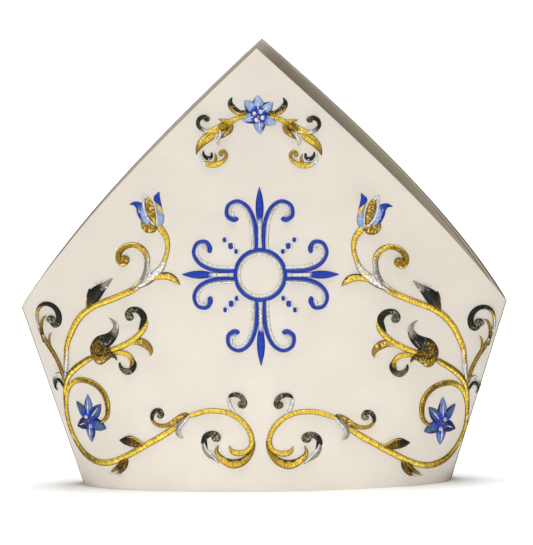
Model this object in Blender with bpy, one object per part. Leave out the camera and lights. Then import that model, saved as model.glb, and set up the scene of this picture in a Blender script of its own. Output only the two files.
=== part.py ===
"""A bishop's mitre: two stiffened satin panels, the gusset folded between their peaks, and raised embroidery.

Metres, +Z up. The mitre stands on its rim with its front panel facing -Y and the middle of the rim at the origin.
"""
import math

import bmesh
import bpy
from mathutils import Vector

# Driving dimensions of the cap
RIM_HALF_WIDTH = 0.1195
RIM_HALF_DEPTH = 0.058
CORNER_HALF_WIDTH = 0.158
CORNER_HEIGHT = 0.117
PEAK_HEIGHT = 0.286
PEAK_HALF_DEPTH = 0.033
PANEL_CLOTH = 0.0025
GUSSET_CLOTH = 0.0012
GAP = 0.0003

# How the cloth curves, as shares
CORNER_FULLNESS = 1.45
EDGE_BOW = 0.28
EDGE_BOW_LOW = 0.35
GUSSET_FOLD = 0.96
GUSSET_LIFT = 0.6
GUSSET_LIFT_POWER = 4
GUSSET_ROUNDING = 1.5
GUSSET_SPAN = math.radians(80)

# How finely the cloth is drawn, and how often a height is halved to find the cloth's edge
HALVINGS = 60
PANEL_COLUMNS = 32
PANEL_ROWS = 8
GUSSET_COLUMNS = 28
GUSSET_ROWS = 10

# The embroidery: how high it stands, how finely its strokes are drawn, and how it sits askew on the panel
EMBROIDERY_RISE = 0.0014
STROKE_FILL = 0.9
STROKE_STAGGER = 0.00009
STAGGER_TURNS = 5
STROKE_STEP = 0.0045
THINNEST = 0.0006
LEAN = 0.004
DROP = 0.012
RIGHT_LOWER = 0.018
RIGHT_WIDER = 0.035
WIDER_FROM = 50
WIDER_TO = 100

# The grid that the embroidery is drawn on, in squares of the panel's own outline
GRID_RIM_ACROSS = 119.5
GRID_CORNER_ACROSS = 158
GRID_CORNER_UP = 117
GRID_PEAK_UP = 286

# Strokes of the left half. Columns: across, up and breadth, all in squares of the grid.
VINE = {
    "upper_stem": ((-130, 60, 3.6), (-129.6, 70, 3.2), (-129.2, 84, 3.4), (-127.6, 95, 4.6), (-124, 103.5, 4.8),
                   (-119, 110.5, 4.8), (-112, 116.3, 4.6), (-103, 121, 4.6), (-93.5, 124.8, 4.6), (-85, 129, 4.6),
                   (-78.5, 133.5, 5), (-74.5, 139.5, 4.4), (-73.6, 147, 4)),
    "upper_curl": ((-74.2, 144, 3.6), (-73.6, 150, 3.8), (-76.5, 155.8, 4), (-82, 158.8, 3.8), (-88, 157.6, 3.8),
                   (-92.2, 153, 3.8), (-92.6, 148.5, 3.6), (-89.6, 146, 3.6), (-86.8, 147.6, 3.6),
                   (-88, 150, 2.6)),
    "tulip_stem": ((-81, 131.5, 2.4), (-73.5, 136, 5), (-67.5, 141, 4.8), (-63.2, 146, 3.6), (-61, 152, 3.2),
                   (-60.6, 158.5, 3), (-62, 163, 2.8), (-63.6, 165.4, 2.6)),
    "fork_leaf": ((-70.5, 136, 1.6), (-64.5, 138.6, 3), (-59.5, 139, 3.2), (-55.6, 137.2, 2.4), (-52.8, 133.8, 0.4)),
    "high_leaf": ((-112.5, 115.5, 3), (-111.5, 121, 7), (-108, 126, 8.6), (-104, 130.5, 5.6), (-97.2, 136.4, 0.5)),
    "edge_stem": ((-130.4, 66, 2.4), (-133, 77, 3), (-137.6, 85.5, 3.2), (-142.4, 92.5, 3.2), (-145.8, 99.5, 2.8),
                  (-147.6, 107, 2.4), (-147, 112.6, 2.2), (-144.6, 116.6, 2.4), (-140.6, 118.4, 2.8),
                  (-136.2, 116.8, 3.4), (-133, 112.6, 3.8), (-132.2, 108, 3.8), (-134.4, 104.2, 3.4),
                  (-137.8, 105, 3), (-138.8, 108.4, 2.6), (-137, 110.2, 2)),
    "edge_spur": ((-143.8, 94, 2.4), (-145.4, 102, 2.6), (-144.6, 107.6, 2), (-142.2, 110, 0.5)),
    "edge_thorn": ((-138, 84.5, 2), (-140, 92.5, 1.8), (-139.2, 97.6, 1.2), (-138.2, 99.6, 0.5)),
    "edge_hook": ((-130.4, 64, 1.2), (-132, 69.4, 3), (-134.6, 71, 3.4), (-137.2, 67.8, 2.6), (-136, 63.8, 1.6),
                  (-134.8, 61.8, 0.5)),
    "bud_stem": ((-130, 60, 4.4), (-129, 67, 4.6), (-126.4, 73, 4.4), (-121.4, 78, 4), (-115.6, 82, 3.6),
                 (-109, 85.6, 3.4)),
    "bud": ((-107, 81, 2.4), (-107.6, 87, 8.6), (-104, 92.8, 11.4), (-98.6, 97.6, 8.8), (-95.2, 102.4, 5.6),
            (-95.2, 107, 3.4), (-99.4, 110.8, 0.5)),
    "bud_sepal": ((-108.6, 84.6, 2.4), (-105.8, 82, 3.8), (-101.8, 84.8, 3.4), (-98, 86.4, 2.6), (-94.8, 83.8, 0.5)),
    "bud_branch": ((-101, 89, 3.4), (-94.4, 91.2, 3.8), (-88.4, 93.8, 4), (-82.4, 97.8, 3.9), (-78, 102, 4),
                   (-76, 107, 4.4), (-76.6, 112.4, 4.3), (-79.2, 116.2, 3.9), (-83.5, 117.2, 3.2),
                   (-86.9, 115, 3), (-87.2, 112, 2.8), (-85, 110.6, 2.6), (-83.6, 112.6, 2.2)),
    "branch_leaf": ((-86, 95, 1.6), (-81.4, 96.2, 3), (-77.4, 96.6, 3.6), (-74, 94, 3.2), (-72.2, 90.4, 2),
                    (-72.3, 87.4, 0.5)),
    "hook": ((-98, 87.8, 2.4), (-92.8, 88.6, 3.2), (-88.4, 88, 3.1), (-85, 85, 3.2), (-83.8, 80.6, 3.6),
             (-87, 76.6, 4), (-91, 77.2, 3.2), (-92.8, 80.4, 1.8), (-92.6, 82, 0.6)),
    "lower_stem": ((-130, 66, 4), (-129.8, 53, 4.8), (-129, 44, 5), (-126.6, 35, 5), (-122, 25.8, 5.2),
                   (-116, 19.2, 5.2), (-108.4, 15.9, 4.8), (-101, 16.1, 4.6), (-93, 19.1, 4.4), (-84, 24, 4.6),
                   (-75, 29.4, 4.6), (-66, 34.7, 4.6), (-58.5, 39.9, 3.8), (-53.5, 44.2, 2.4)),
    "spiral": ((-129.4, 58, 3.4), (-127, 65, 4), (-121.4, 68.9, 4), (-115.2, 69, 4.2), (-108.8, 66.4, 4.2),
               (-103.8, 61.2, 4.4), (-101.5, 55, 4.4), (-101.2, 49.4, 3.8), (-102, 46.6, 3)),
    "low_leaf": ((-93.2, 31.2, 0.5), (-89.6, 30.9, 5.2), (-86.2, 30.6, 7.4), (-82.6, 29.8, 5.6), (-77, 29, 3)),
    "hanging_leaf": ((-88, 21.4, 4.6), (-90, 15, 4.8), (-93.4, 11.4, 3), (-96, 9.4, 0.5)),
    "hanging_lobe": ((-90.4, 18.6, 3), (-94, 14, 2.4), (-97.4, 11.2, 1.8), (-100.6, 9.2, 0.5)),
    "scroll_leaf": ((-46.2, 50, 1.2), (-52.2, 48.7, 2.8), (-56.2, 45.6, 3.4), (-60.2, 42.9, 2.9),
                    (-65.2, 42.1, 2.6), (-69.6, 43.2, 2.6), (-72, 47, 2.6), (-71, 50.6, 2.8), (-68, 52, 2.8),
                    (-65.5, 50.4, 2.7), (-65.4, 47.8, 2.4), (-67.2, 46.9, 1.8)),
    "scroll_drop": ((-46.4, 49, 1.4), (-49.7, 45.9, 3), (-53.2, 42.4, 3.4), (-55, 38.8, 3), (-54, 35.3, 2),
                    (-51.2, 33.9, 0.5)),
    "arch": ((-50, 46.6, 1.8), (-44, 49.5, 3), (-36.2, 51.7, 3.4), (-30.2, 52.1, 3.4), (-23.7, 51.3, 3.4),
             (-17.2, 48.8, 3.6), (-12, 44.6, 3.6), (-8.2, 39.4, 3.6), (-6.2, 33.4, 3.6), (-7.4, 28.3, 3.4),
             (-10.8, 25.3, 3), (-15.7, 24.5, 3.5), (-19.7, 25.9, 2.8), (-21.4, 29.8, 0.5)),
    "crescent": ((-5, 33.5, 1.6), (-5.6, 28.5, 2), (-8, 23.8, 3.4), (-12.4, 19.7, 5.2), (-18.2, 18, 5.8),
                 (-23.7, 19.4, 5), (-28.2, 23, 3.4), (-29.8, 26.1, 2.6), (-28.5, 30.2, 0.5)),
    "scroll_curl": ((-26.5, 19.4, 2.4), (-32.2, 22.4, 2.8), (-36.4, 26.4, 3), (-38, 31.4, 3), (-35.8, 35.8, 3),
                    (-32, 37.6, 3), (-28.9, 36.6, 3), (-28.5, 34, 2.8), (-30.6, 33.4, 2.2)),
    "arch_curl": ((-16.6, 49.4, 1.6), (-20, 55.2, 2.1), (-20.6, 60, 2.1), (-16.4, 62.3, 2.3), (-13, 60.6, 2.6),
                  (-11.8, 57.2, 2.8), (-13, 55.2, 2.4), (-14.8, 56.9, 1.8)),
}
SPRAY = {
    "dark_leaf": ((-10.8, 244.4, 3.4), (-13.4, 244.6, 4.4), (-16.4, 247, 4.8), (-18.4, 250, 3.9),
                  (-18.5, 252.6, 2.5), (-17, 255, 0.5)),
    "branch": ((-11.2, 242.6, 2.8), (-18, 239.2, 4), (-22.6, 236.4, 6), (-28, 233.8, 4.8), (-34.6, 232.7, 3),
               (-39, 235, 2.4), (-40.4, 238.6, 2.6), (-38.4, 241.4, 2.6), (-35.4, 242.4, 2.6), (-33, 241.2, 2.5),
               (-33.8, 239.2, 2)),
    "branch_spike": ((-18.6, 239.4, 2.6), (-22.4, 239.2, 2.6), (-26.6, 240.5, 0.5)),
    "branch_lobe": ((-17, 238.6, 3), (-19.2, 234.6, 3.8), (-22, 231, 2.6), (-25, 228.4, 0.5)),
    "silver_drop": ((-24.4, 233.6, 2), (-25.8, 229, 2), (-26.6, 225.8, 2), (-25.8, 223.4, 0.5)),
    "long_leaf": ((-27.6, 231.8, 4.4), (-31.4, 229.4, 6.8), (-36.4, 226.4, 5.6), (-39.4, 222.6, 3.6),
                  (-41, 217.4, 0.5)),
}
SPRAY_CRESCENT = {
    "crescent": ((-36.8, 215, 1.6), (-33, 212.8, 3.4), (-28.6, 211.8, 3.5), (-24.6, 213.2, 2.8),
                 (-21.8, 216.2, 2.3), (-22.4, 219.2, 2.1), (-24.6, 220.3, 2), (-26, 218.6, 2)),
    "spur": ((-29.2, 212.4, 2.2), (-28, 215.6, 1.8), (-28.8, 218.4, 0.5)),
    "hollow": ((-36.2, 219.6, 0.6), (-35.4, 216.8, 2), (-33.2, 215.2, 2.8), (-31.2, 216.8, 2), (-31.5, 219.4, 0.6)),
}
TULIP = {
    "cup": ((-77.4, 173.4, 1), (-75.4, 170.4, 4), (-71.6, 169.4, 4.4), (-68, 170.6, 4), (-65.6, 172.6, 1)),
    "left_petal": ((-74.8, 169.6, 2.6), (-77.2, 174.6, 5.6), (-79, 180.6, 4.4), (-80.8, 184, 3), (-84.4, 185.6, 0.5)),
    "heart": ((-71, 170, 3), (-71.6, 176, 6.6), (-71.6, 182, 7), (-72.8, 187.4, 3), (-74.6, 190.4, 0.5)),
    "right_petal": ((-67.6, 169.8, 2.6), (-64, 174.4, 4.6), (-63.6, 180.4, 4), (-65.6, 186, 3.2), (-66, 190.6, 0.5)),
}

# One arm of the cross in the middle, drawn upwards. Columns: across, outwards and breadth, in squares.
CROSS_HEIGHT = 140
CROSS_RING = 15
CROSS_CORD = 4.6
RING_STOPS = 16
CROSS_ARMS = (("up", 90, 1.0), ("left", 180, 0.86), ("down", 270, 1.04), ("right", 0, 0.86))
CROSS_CURL = ((3.4, 12, 4.4), (3.4, 24, 4.6), (4.4, 34, 4.6), (8, 42.6, 4.4), (14, 46.6, 3.8), (19.4, 44, 3.2),
              (20, 38.6, 3), (16.4, 35.8, 2.8), (13.6, 38, 2.4))
CROSS_BUD = ((0, 22, 3.2), (0, 33, 3.4), (0, 43, 5.2), (0, 50, 4.2), (0, 57, 0.5))

# Flowers. Columns: across, up, and six petals as lengths in squares; each turn is in degrees.
FLOWERS = (
    ("top_flower", 0.2, 243.4, ((90, 12.4), (40, 12.2), (-26, 12.2), (-90, 12), (-154, 12.2), (140, 12.2))),
    ("flower_left", -113.9, 42.6, ((93, 18), (56, 14), (-20, 11.4), (-84, 14), (-152, 8.6), (124, 14.6))),
)
PETAL_BREADTH = 0.42
FLOWER_HEART = 1.4

# Colours
CREAM = (0.80, 0.75, 0.68, 1)
TAUPE = (0.42, 0.37, 0.31, 1)
GOLD = (0.72, 0.50, 0.12, 1)
BLUE = (0.03, 0.08, 0.45, 1)
PALE_BLUE = (0.30, 0.42, 0.75, 1)


def clear_scene():
    for obj in list(bpy.data.objects):
        bpy.data.objects.remove(obj)


def material(name, colour, roughness, metallic=0.0):
    mat = bpy.data.materials.new(name)
    mat.use_nodes = True
    shader = mat.node_tree.nodes["Principled BSDF"]
    shader.inputs["Base Color"].default_value = colour
    shader.inputs["Roughness"].default_value = roughness
    shader.inputs["Metallic"].default_value = metallic
    return mat


def half_width(z):
    """Half the cap's width at a height; the flare goes on past the corners, where the upper edges cut it."""
    return RIM_HALF_WIDTH + (CORNER_HALF_WIDTH - RIM_HALF_WIDTH) * z / CORNER_HEIGHT


def half_depth(z):
    return RIM_HALF_DEPTH + (PEAK_HALF_DEPTH - RIM_HALF_DEPTH) * z / PEAK_HEIGHT


def fullness(z):
    """The section's exponent: an ellipse at the rim and a pointed lens from the corners up."""
    return 1 + (CORNER_FULLNESS - 1) * min(z / CORNER_HEIGHT, 1)


def edge_half_width(z):
    """Half the panel's width between its upper edges, which bow a little from corner to peak."""
    t = (z - CORNER_HEIGHT) / (PEAK_HEIGHT - CORNER_HEIGHT)
    return CORNER_HALF_WIDTH * (1 - t + EDGE_BOW * t * (1 - t) * (1 - EDGE_BOW_LOW * t))


def section(angle, z, inset):
    """Across and depth of a panel's section, at an angle from its middle and an inset from its outer face."""
    full = fullness(z)
    across = (half_width(z) - inset * full) * math.sin(angle)
    seam = GAP / 2
    depth = seam + (half_depth(z) - inset - seam) * max(math.cos(angle), 0) ** full
    return across, depth


def column_top(angle):
    """The height where the straight line of the cloth at an angle meets the upper edge."""
    low = CORNER_HEIGHT
    high = PEAK_HEIGHT
    for _ in range(HALVINGS):
        z = (low + high) / 2
        if half_width(z) * math.sin(abs(angle)) < edge_half_width(z):
            low = z
        else:
            high = z
    return (low + high) / 2


def wall(name, columns, rows, place, mat):
    """A closed wall of cloth: a grid laid on both of its faces and joined round the border."""
    bm = bmesh.new()
    bmesh.ops.create_grid(bm, x_segments=columns, y_segments=rows, size=1)
    border = [edge for edge in bm.edges if edge.is_boundary]
    outer = bm.verts[:]
    copy = bmesh.ops.duplicate(bm, geom=bm.verts[:] + bm.edges[:] + bm.faces[:])
    twin = copy["vert_map"]
    for vert in outer:
        u, v = vert.co.x, vert.co.y
        vert.co = place(u, v, False)
        twin[vert].co = place(u, v, True)
    for edge in border:
        a, b = edge.verts
        bm.faces.new((a, b, twin[b], twin[a]))
    bmesh.ops.recalc_face_normals(bm, faces=bm.faces[:])
    return finish(name, bm, mat)


def finish(name, bm, mat):
    mesh = bpy.data.meshes.new(name)
    bm.to_mesh(mesh)
    bm.free()
    mesh.materials.append(mat)
    obj = bpy.data.objects.new(name, mesh)
    bpy.context.scene.collection.objects.link(obj)
    return obj


def panel(name, side, mat):
    """One of the two shield-shaped panels; side is -1 for the front and 1 for the back."""
    def place(u, v, inner):
        angle = u * math.pi / 2
        z = column_top(angle) * (v + 1) / 2
        across, depth = section(angle, z, PANEL_CLOTH if inner else 0)
        return Vector((across, side * depth, z))
    return wall(name, PANEL_COLUMNS, PANEL_ROWS, place, mat)


def gusset(mat):
    """The cloth that joins the upper edges and folds down between the peaks."""
    def place(u, v, under):
        top = column_top(u * GUSSET_SPAN)
        across, depth = section(u * GUSSET_SPAN, top, PANEL_CLOTH)
        reach = depth - GAP - GUSSET_CLOTH
        lift = 1 - GUSSET_LIFT * (across / CORNER_HALF_WIDTH) ** GUSSET_LIFT_POWER
        fold = (top - CORNER_HEIGHT) * GUSSET_FOLD * lift
        point = Vector((across, v * reach, top - fold * (1 - abs(v) ** GUSSET_ROUNDING)))
        if under:
            slope = fold * GUSSET_ROUNDING * abs(v) ** (GUSSET_ROUNDING - 1) / reach
            down = Vector((0, math.copysign(slope, v), -1)).normalized()
            point += down * GUSSET_CLOTH
        return point
    return wall("gusset", GUSSET_COLUMNS, GUSSET_ROWS, place, mat)


def front_face(x, z):
    """The point of the front panel's outer face that a front view shows at (x, z)."""
    flat = max(1 - (x / half_width(z)) ** 2, 0)
    seam = GAP / 2
    return Vector((x, -seam - (half_depth(z) - seam) * flat ** (fullness(z) / 2), z))


def front_normal(x, z):
    """The direction straight out of the front panel at (x, z)."""
    here = front_face(x, z)
    return (front_face(x + GAP, z) - here).cross(front_face(x, z + GAP) - here).normalized()


def grid_point(across, up):
    """A place on the drawing's grid, carried to the panel, where the drawing sits slightly askew."""
    leaning = across + LEAN * up
    dropped = up - DROP * across
    low = dropped / GRID_CORNER_UP
    z = CORNER_HEIGHT * low
    if low > 1:
        high = (dropped - GRID_CORNER_UP) / (GRID_PEAK_UP - GRID_CORNER_UP)
        z = CORNER_HEIGHT + (PEAK_HEIGHT - CORNER_HEIGHT) * high
    grid_half_width = GRID_RIM_ACROSS + (GRID_CORNER_ACROSS - GRID_RIM_ACROSS) * low
    return Vector((leaning * half_width(z) / grid_half_width, z))


def square_across(side, z):
    """The length of one square of the grid on the panel, measured along a direction at a height."""
    low = z / CORNER_HEIGHT
    across = half_width(z) / (GRID_RIM_ACROSS + (GRID_CORNER_ACROSS - GRID_RIM_ACROSS) * low)
    up = CORNER_HEIGHT / GRID_CORNER_UP
    if low > 1:
        up = (PEAK_HEIGHT - CORNER_HEIGHT) / (GRID_PEAK_UP - GRID_CORNER_UP)
    return Vector((side.x * across, side.y * math.sqrt(across * up), side.z * up)).length


def smooth_line(points, closed=False):
    """Even steps along a smooth curve through the points: across and up in metres, and breadth in squares."""
    stops = [Vector((*grid_point(x, y), w * STROKE_FILL)) for x, y, w in points]
    count = len(stops)
    line = []
    for i in range(count if closed else count - 1):
        a, b = stops[i], stops[(i + 1) % count]
        before = stops[i - 1] if i or closed else a + (a - b)
        after = stops[(i + 2) % count] if i + 2 < count or closed else b + (b - a)
        steps = max(1, round((b.xy - a.xy).length / STROKE_STEP))
        for j in range(steps):
            t = j / steps
            line.append(0.5 * (2 * a + (b - before) * t + (2 * before - 5 * a + 4 * b - after) * t ** 2
                               + (3 * a - before - 3 * b + after) * t ** 3))
    if not closed:
        line.append(stops[-1])
    return line


def stroke(name, points, lift, mat, closed=False):
    """A raised stroke of thread: a low flat-topped bead laid along a line on the front panel."""
    line = smooth_line(points, closed)
    places = [front_face(stop.x, stop.y) for stop in line]
    count = len(line)
    bm = bmesh.new()
    rings = []
    for i, (stop, place) in enumerate(zip(line, places)):
        before = places[i - 1] if i or closed else place
        after = places[(i + 1) % count] if i + 1 < count or closed else place
        out = front_normal(stop.x, stop.y)
        side = (after - before).cross(out).normalized()
        half = max(stop.z * square_across(side, stop.y), THINNEST) / 2
        side *= half
        rise = min(EMBROIDERY_RISE, half)
        ring = []
        for share, height in ((1, 0), (0.5, rise), (-0.5, rise), (-1, 0)):
            ring.append(bm.verts.new(place + side * share + out * (GAP + lift + height)))
        rings.append(ring)
    pairs = list(zip(rings, rings[1:]))
    if closed:
        pairs.append((rings[-1], rings[0]))
    else:
        bm.faces.new(rings[0])
        bm.faces.new(rings[-1])
    for ring, following in pairs:
        for k in range(4):
            bm.faces.new((ring[k], ring[k - 1], following[k - 1], following[k]))
    bmesh.ops.recalc_face_normals(bm, faces=bm.faces[:])
    return finish(name, bm, mat)


def joined(name, parts, mat):
    """Strokes that touch each other, made into one body."""
    collection = bpy.data.collections.new(name + "_strokes")
    bpy.context.scene.collection.children.link(collection)
    body = None
    for i, (points, closed) in enumerate(parts):
        lift = STROKE_STAGGER * (i % STAGGER_TURNS)
        obj = stroke(name if body is None else f"{name}_stroke_{i}", points, lift, mat, closed)
        if body is None:
            body = obj
            continue
        bpy.context.scene.collection.objects.unlink(obj)
        collection.objects.link(obj)
        obj.hide_render = True
        obj.display_type = "WIRE"
    union = body.modifiers.new("union", "BOOLEAN")
    union.operation = "UNION"
    union.operand_type = "COLLECTION"
    union.collection = collection
    union.solver = "EXACT"
    return body


def mirrored(points):
    return tuple((-x, y, w) for x, y, w in points)


def right_half(points):
    """Strokes of the left half as they lie on the right, where the work is a little wider and lower."""
    line = []
    for x, y, w in mirrored(points):
        line.append((x + RIGHT_WIDER * (min(x, WIDER_TO) - WIDER_FROM), y - RIGHT_LOWER * x, w))
    return tuple(line)


def both_sides(name, table, mat):
    """The strokes of one motif, joined on the left and mirrored on the right."""
    joined(name + "_left", [(points, False) for points in table.values()], mat)
    joined(name + "_right", [(right_half(points), False) for points in table.values()], mat)


def flower(name, across, up, petals, mat):
    """Pointed petals that cross at the flower's heart."""
    parts = []
    for turn, length in petals:
        dx = math.cos(math.radians(turn))
        dy = math.sin(math.radians(turn))
        breadth = length * PETAL_BREADTH
        line = ((-FLOWER_HEART, 0.5), (0.45 * length, 1), (0.75 * length, 0.8), (length, 0.1))
        parts.append((tuple((across + dx * t, up + dy * t, breadth * share) for t, share in line), False))
    return joined(name, parts, mat)


def cross(mat):
    """A cross of paired cords: a ring, and four arms that part into curls round a bud."""
    ring = tuple((CROSS_RING * math.cos(a), CROSS_HEIGHT + CROSS_RING * math.sin(a), CROSS_CORD)
                 for a in (math.tau * i / RING_STOPS for i in range(RING_STOPS)))
    parts = [(ring, True)]
    for _, turn, scale in CROSS_ARMS:
        out = Vector((math.cos(math.radians(turn)), math.sin(math.radians(turn))))
        right = Vector((out.y, -out.x))
        for points in (CROSS_CURL, mirrored(CROSS_CURL), CROSS_BUD):
            arm = []
            for u, v, w in points:
                place = right * u + out * v * scale
                arm.append((place.x, CROSS_HEIGHT + place.y, w))
            parts.append((tuple(arm), False))
    return joined("centre_cross", parts, mat)


def build():
    clear_scene()
    satin = material("cream_satin", CREAM, 0.55)
    panel("front_panel", -1, satin)
    panel("back_panel", 1, satin)
    gusset(material("taupe_satin", TAUPE, 0.6))
    thread = material("gold_thread", GOLD, 0.35, 0.6)
    both_sides("vine", VINE, thread)
    both_sides("top_spray", SPRAY, thread)
    both_sides("top_crescent", SPRAY_CRESCENT, thread)
    both_sides("tulip", TULIP, material("tulip_thread", PALE_BLUE, 0.5))
    petals = material("petal_thread", PALE_BLUE, 0.5)
    for name, across, up, lengths in FLOWERS:
        flower(name, across, up, lengths, petals)
    _, across, up, lengths = FLOWERS[1]
    (right_across, right_up, _), = right_half(((across, up, 0),))
    flower("flower_right", right_across, right_up, [(180 - turn, length) for turn, length in lengths], petals)
    cross(material("blue_cord", BLUE, 0.5))


build()
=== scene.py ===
"""The looks of the bishop's mitre: satin panels, the gusset between the peaks and the raised embroidery."""
import math

import bpy
import numpy as np
from mathutils import Matrix, Vector, noise


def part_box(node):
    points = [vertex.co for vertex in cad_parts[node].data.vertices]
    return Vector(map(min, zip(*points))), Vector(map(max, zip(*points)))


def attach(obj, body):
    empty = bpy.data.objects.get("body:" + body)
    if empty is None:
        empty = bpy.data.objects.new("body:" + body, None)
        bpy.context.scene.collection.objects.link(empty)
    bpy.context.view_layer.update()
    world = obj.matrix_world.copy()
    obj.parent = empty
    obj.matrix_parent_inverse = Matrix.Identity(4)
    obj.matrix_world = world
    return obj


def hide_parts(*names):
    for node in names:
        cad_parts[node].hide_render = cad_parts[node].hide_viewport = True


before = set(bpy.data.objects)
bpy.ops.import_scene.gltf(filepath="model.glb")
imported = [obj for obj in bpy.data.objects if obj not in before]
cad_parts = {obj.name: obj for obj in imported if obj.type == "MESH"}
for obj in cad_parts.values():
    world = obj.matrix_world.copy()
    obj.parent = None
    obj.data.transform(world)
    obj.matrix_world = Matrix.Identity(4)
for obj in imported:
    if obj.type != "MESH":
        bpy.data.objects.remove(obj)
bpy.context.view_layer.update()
panel_low, panel_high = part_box("front_panel")

# The cap's sizes: the frame gives the outline, and the rest follow the cloth
CORNER_HALF_WIDTH = panel_high.x
PEAK_HEIGHT = panel_high.z
RIM_HALF_DEPTH = -panel_low.y
RIM_HALF_WIDTH = 0.1195
CORNER_HEIGHT = 0.117
PEAK_HALF_DEPTH = 0.033
PANEL_CLOTH = 0.0025
GUSSET_CLOTH = 0.0012
GAP = 0.0003

# How the cloth curves, as shares
CORNER_FULLNESS = 1.45
EDGE_BOW = 0.28
EDGE_BOW_LOW = 0.35
GUSSET_FOLD = 0.96
GUSSET_LIFT = 0.6
GUSSET_LIFT_POWER = 4
GUSSET_ROUNDING = 1.5
GUSSET_SPAN = math.radians(80)

# The panels' soft waves. Columns: radians a metre across and up, and where the wave starts.
WAVE_HEIGHT = 0.00022
WAVES = ((38, 21, 0), (-11, 31, 1.3))

# The upright puckers just above the rim: their wander as turn and radians a metre, stronger to the left
PUCKER_HEIGHT = 0.00016
PUCKER_REACH = 0.022
PUCKERS = 620
PUCKER_WANDER = (2.2, 57)
PUCKER_LEFT = 0.8
PUCKER_MIDDLE = 0.04

# The gusset's creases, in radians from its middle to its end, and their wander
CREASE_HEIGHT = 0.0005
CREASES = 26
CREASE_WANDER = (3, 7)

# How finely the cloth is worked: squares across and up, and the roll of its edges
PANEL_GRID = (132, 66)
PANEL_ROLL = 0.0009
GUSSET_GRID = (120, 40)
GUSSET_ROLL = 0.0004
GUSSET_WEAVE_SPAN = 0.24
ROLL_STEPS = 3
ROLL_ANGLE = math.radians(50)

# Edges sharper than this stay sharp, on each kind of piece
CLOTH_ANGLE = math.radians(42)
STITCH_ANGLE = math.radians(60)
CORD_ANGLE = math.radians(50)

# Working values: the flat grid's thickness before it is bent, steps, and what counts as next to nothing
GRID_SHELL = 0.2
HALVINGS = 40
ARC_STEPS = 40
TINY = 0.0003
NEARLY_ZERO = 1e-12
FACES_UP = 0.9

# The brown cord and the taupe binding along the edges; the dark cord is partly a real cord and partly painted
# shade along the turned edges
EDGE_CORD_RADIUS = 0.0005
CORD_SIDES = 8
CORD_CUTS = (79, 1)
CORD_STEPS = 161
CORD_END = 0.0006
CORD_INSET = 0.2
CORD_LIFT = 0.0007
BINDING_RADIUS = 0.00135
BINDING_DROP = 0.0009

# The embroidery's grid, in squares of the panel's outline, and how the work sits askew on it
SQUARE = 0.001
GRID_RIM_ACROSS = 119.5
GRID_CORNER_ACROSS = 158
GRID_CORNER_UP = 117
GRID_PEAK_UP = 286
LEAN = 0.004
DROP = 0.012
RIGHT_LOWER = 0.018
RIGHT_WIDER = 0.035
WIDER_FROM = 50
WIDER_TO = 100

# How the stitches are laid: breadth, height, ridges, and how strokes lie over each other
STROKE_FILL = 0.93
STITCH_STEP = 0.00036
STITCH_PROFILE = 8
STITCH_RISE = 0.0015
STITCH_STEEPNESS = 1.05
STITCH_ROUND = 0.75
STITCH_SUNK = 0.00015
STITCH_SHELL = 0.0003
STITCH_THINNEST = 0.0004
END_SHARE = 0.02
OVERLAP = 0.00012
OVERLAPS = 5
ACCENT_LIFT = 0.001
ACCENT_RISE = 0.0006
BALL_LIFT = 0.0009
RIDGE_PITCH = 0.0019
RIDGE_SHARE = 0.06
RIDGE_SLANT = 0.35

# How ragged a change of thread is, and how fine the specks of a thread mixed in
RAGGED = 0.0044
RAGGED_SHARE = 0.06
RAGGED_ALONG = 0.0035
RAGGED_ACROSS = 2.4
RAGGED_EDGE = 0.35
SPECKLE_SIZE = 0.0009
SPECKLE_ACROSS = 3
SPECKLE_SEED = 9
SEED_SHARE = 1.7

# The floor, and the beam of the lamps that light it from above
FLOOR_SIZE = 40
FLOOR_BEAM = math.radians(60)

# The camera, as the photograph was taken
CAMERA_AZIMUTH = math.radians(3.28)
CAMERA_ELEVATION = math.radians(5.85)
CAMERA_ROLL = math.radians(1.07)
CAMERA_FAR = 8.0
CAMERA_AIM = (0, 0, 0.14)
CAMERA_LENS = 811
CAMERA_SHIFT = (0.0059, -0.0088)

# How wide a band of the wave texture is at scale 1, in metres
WAVE_BAND = 0.314

# Thread colours: red, green, blue and how metallic the thread is. The bright gold is a painted highlight on
# gold, and the olive and dark golds are gold in painted shade.
THREAD = {
    "gold": (0.82, 0.54, 0.055, 0.6), "bright_gold": (1.0, 0.76, 0.16, 0.6),
    "old_gold": (0.44, 0.26, 0.03, 0.5), "shaded_gold": (0.27, 0.155, 0.008, 0.45),
    "brown": (0.085, 0.044, 0.006, 0.2), "beaded": (0.3, 0.165, 0.022, 0.3),
    "silver": (0.9, 0.89, 0.86, 0.35), "glitter": (0.95, 0.95, 0.92, 0.35),
    "grey": (0.32, 0.285, 0.245, 0.2), "dark": (0.013, 0.016, 0.011, 0.0),
    "black": (0.01, 0.012, 0.008, 0.0), "sequin": (0.33, 0.29, 0.19, 0.3),
    "royal": (0.012, 0.052, 0.46, 0.0), "deep": (0.005, 0.014, 0.13, 0.0),
    "slate": (0.075, 0.125, 0.29, 0.0), "pale": (0.36, 0.475, 0.75, 0.0),
    "pebbled": (0.02, 0.023, 0.016, 0.0), "deep_shaded_gold": (0.15, 0.082, 0.004, 0.3),
    "cornflower": (0.17, 0.25, 0.55, 0.0),
}

# Threads with another mixed in, and how rarely it shows; the bright gold specks mixed into gold and beaded
# threads are painted glints.
MIXED = {
    "dark": ("sequin", 0.26), "brown": ("old_gold", 0.3), "beaded": ("bright_gold", 0.2),
    "deep_shaded_gold": ("old_gold", 0.3), "silver": ("grey", 0.34), "pebbled": ("sequin", 0.04),
    "glitter": ("gold", 0.22), "gold": ("bright_gold", 0.2), "shaded_gold": ("gold", 0.36),
}

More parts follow.
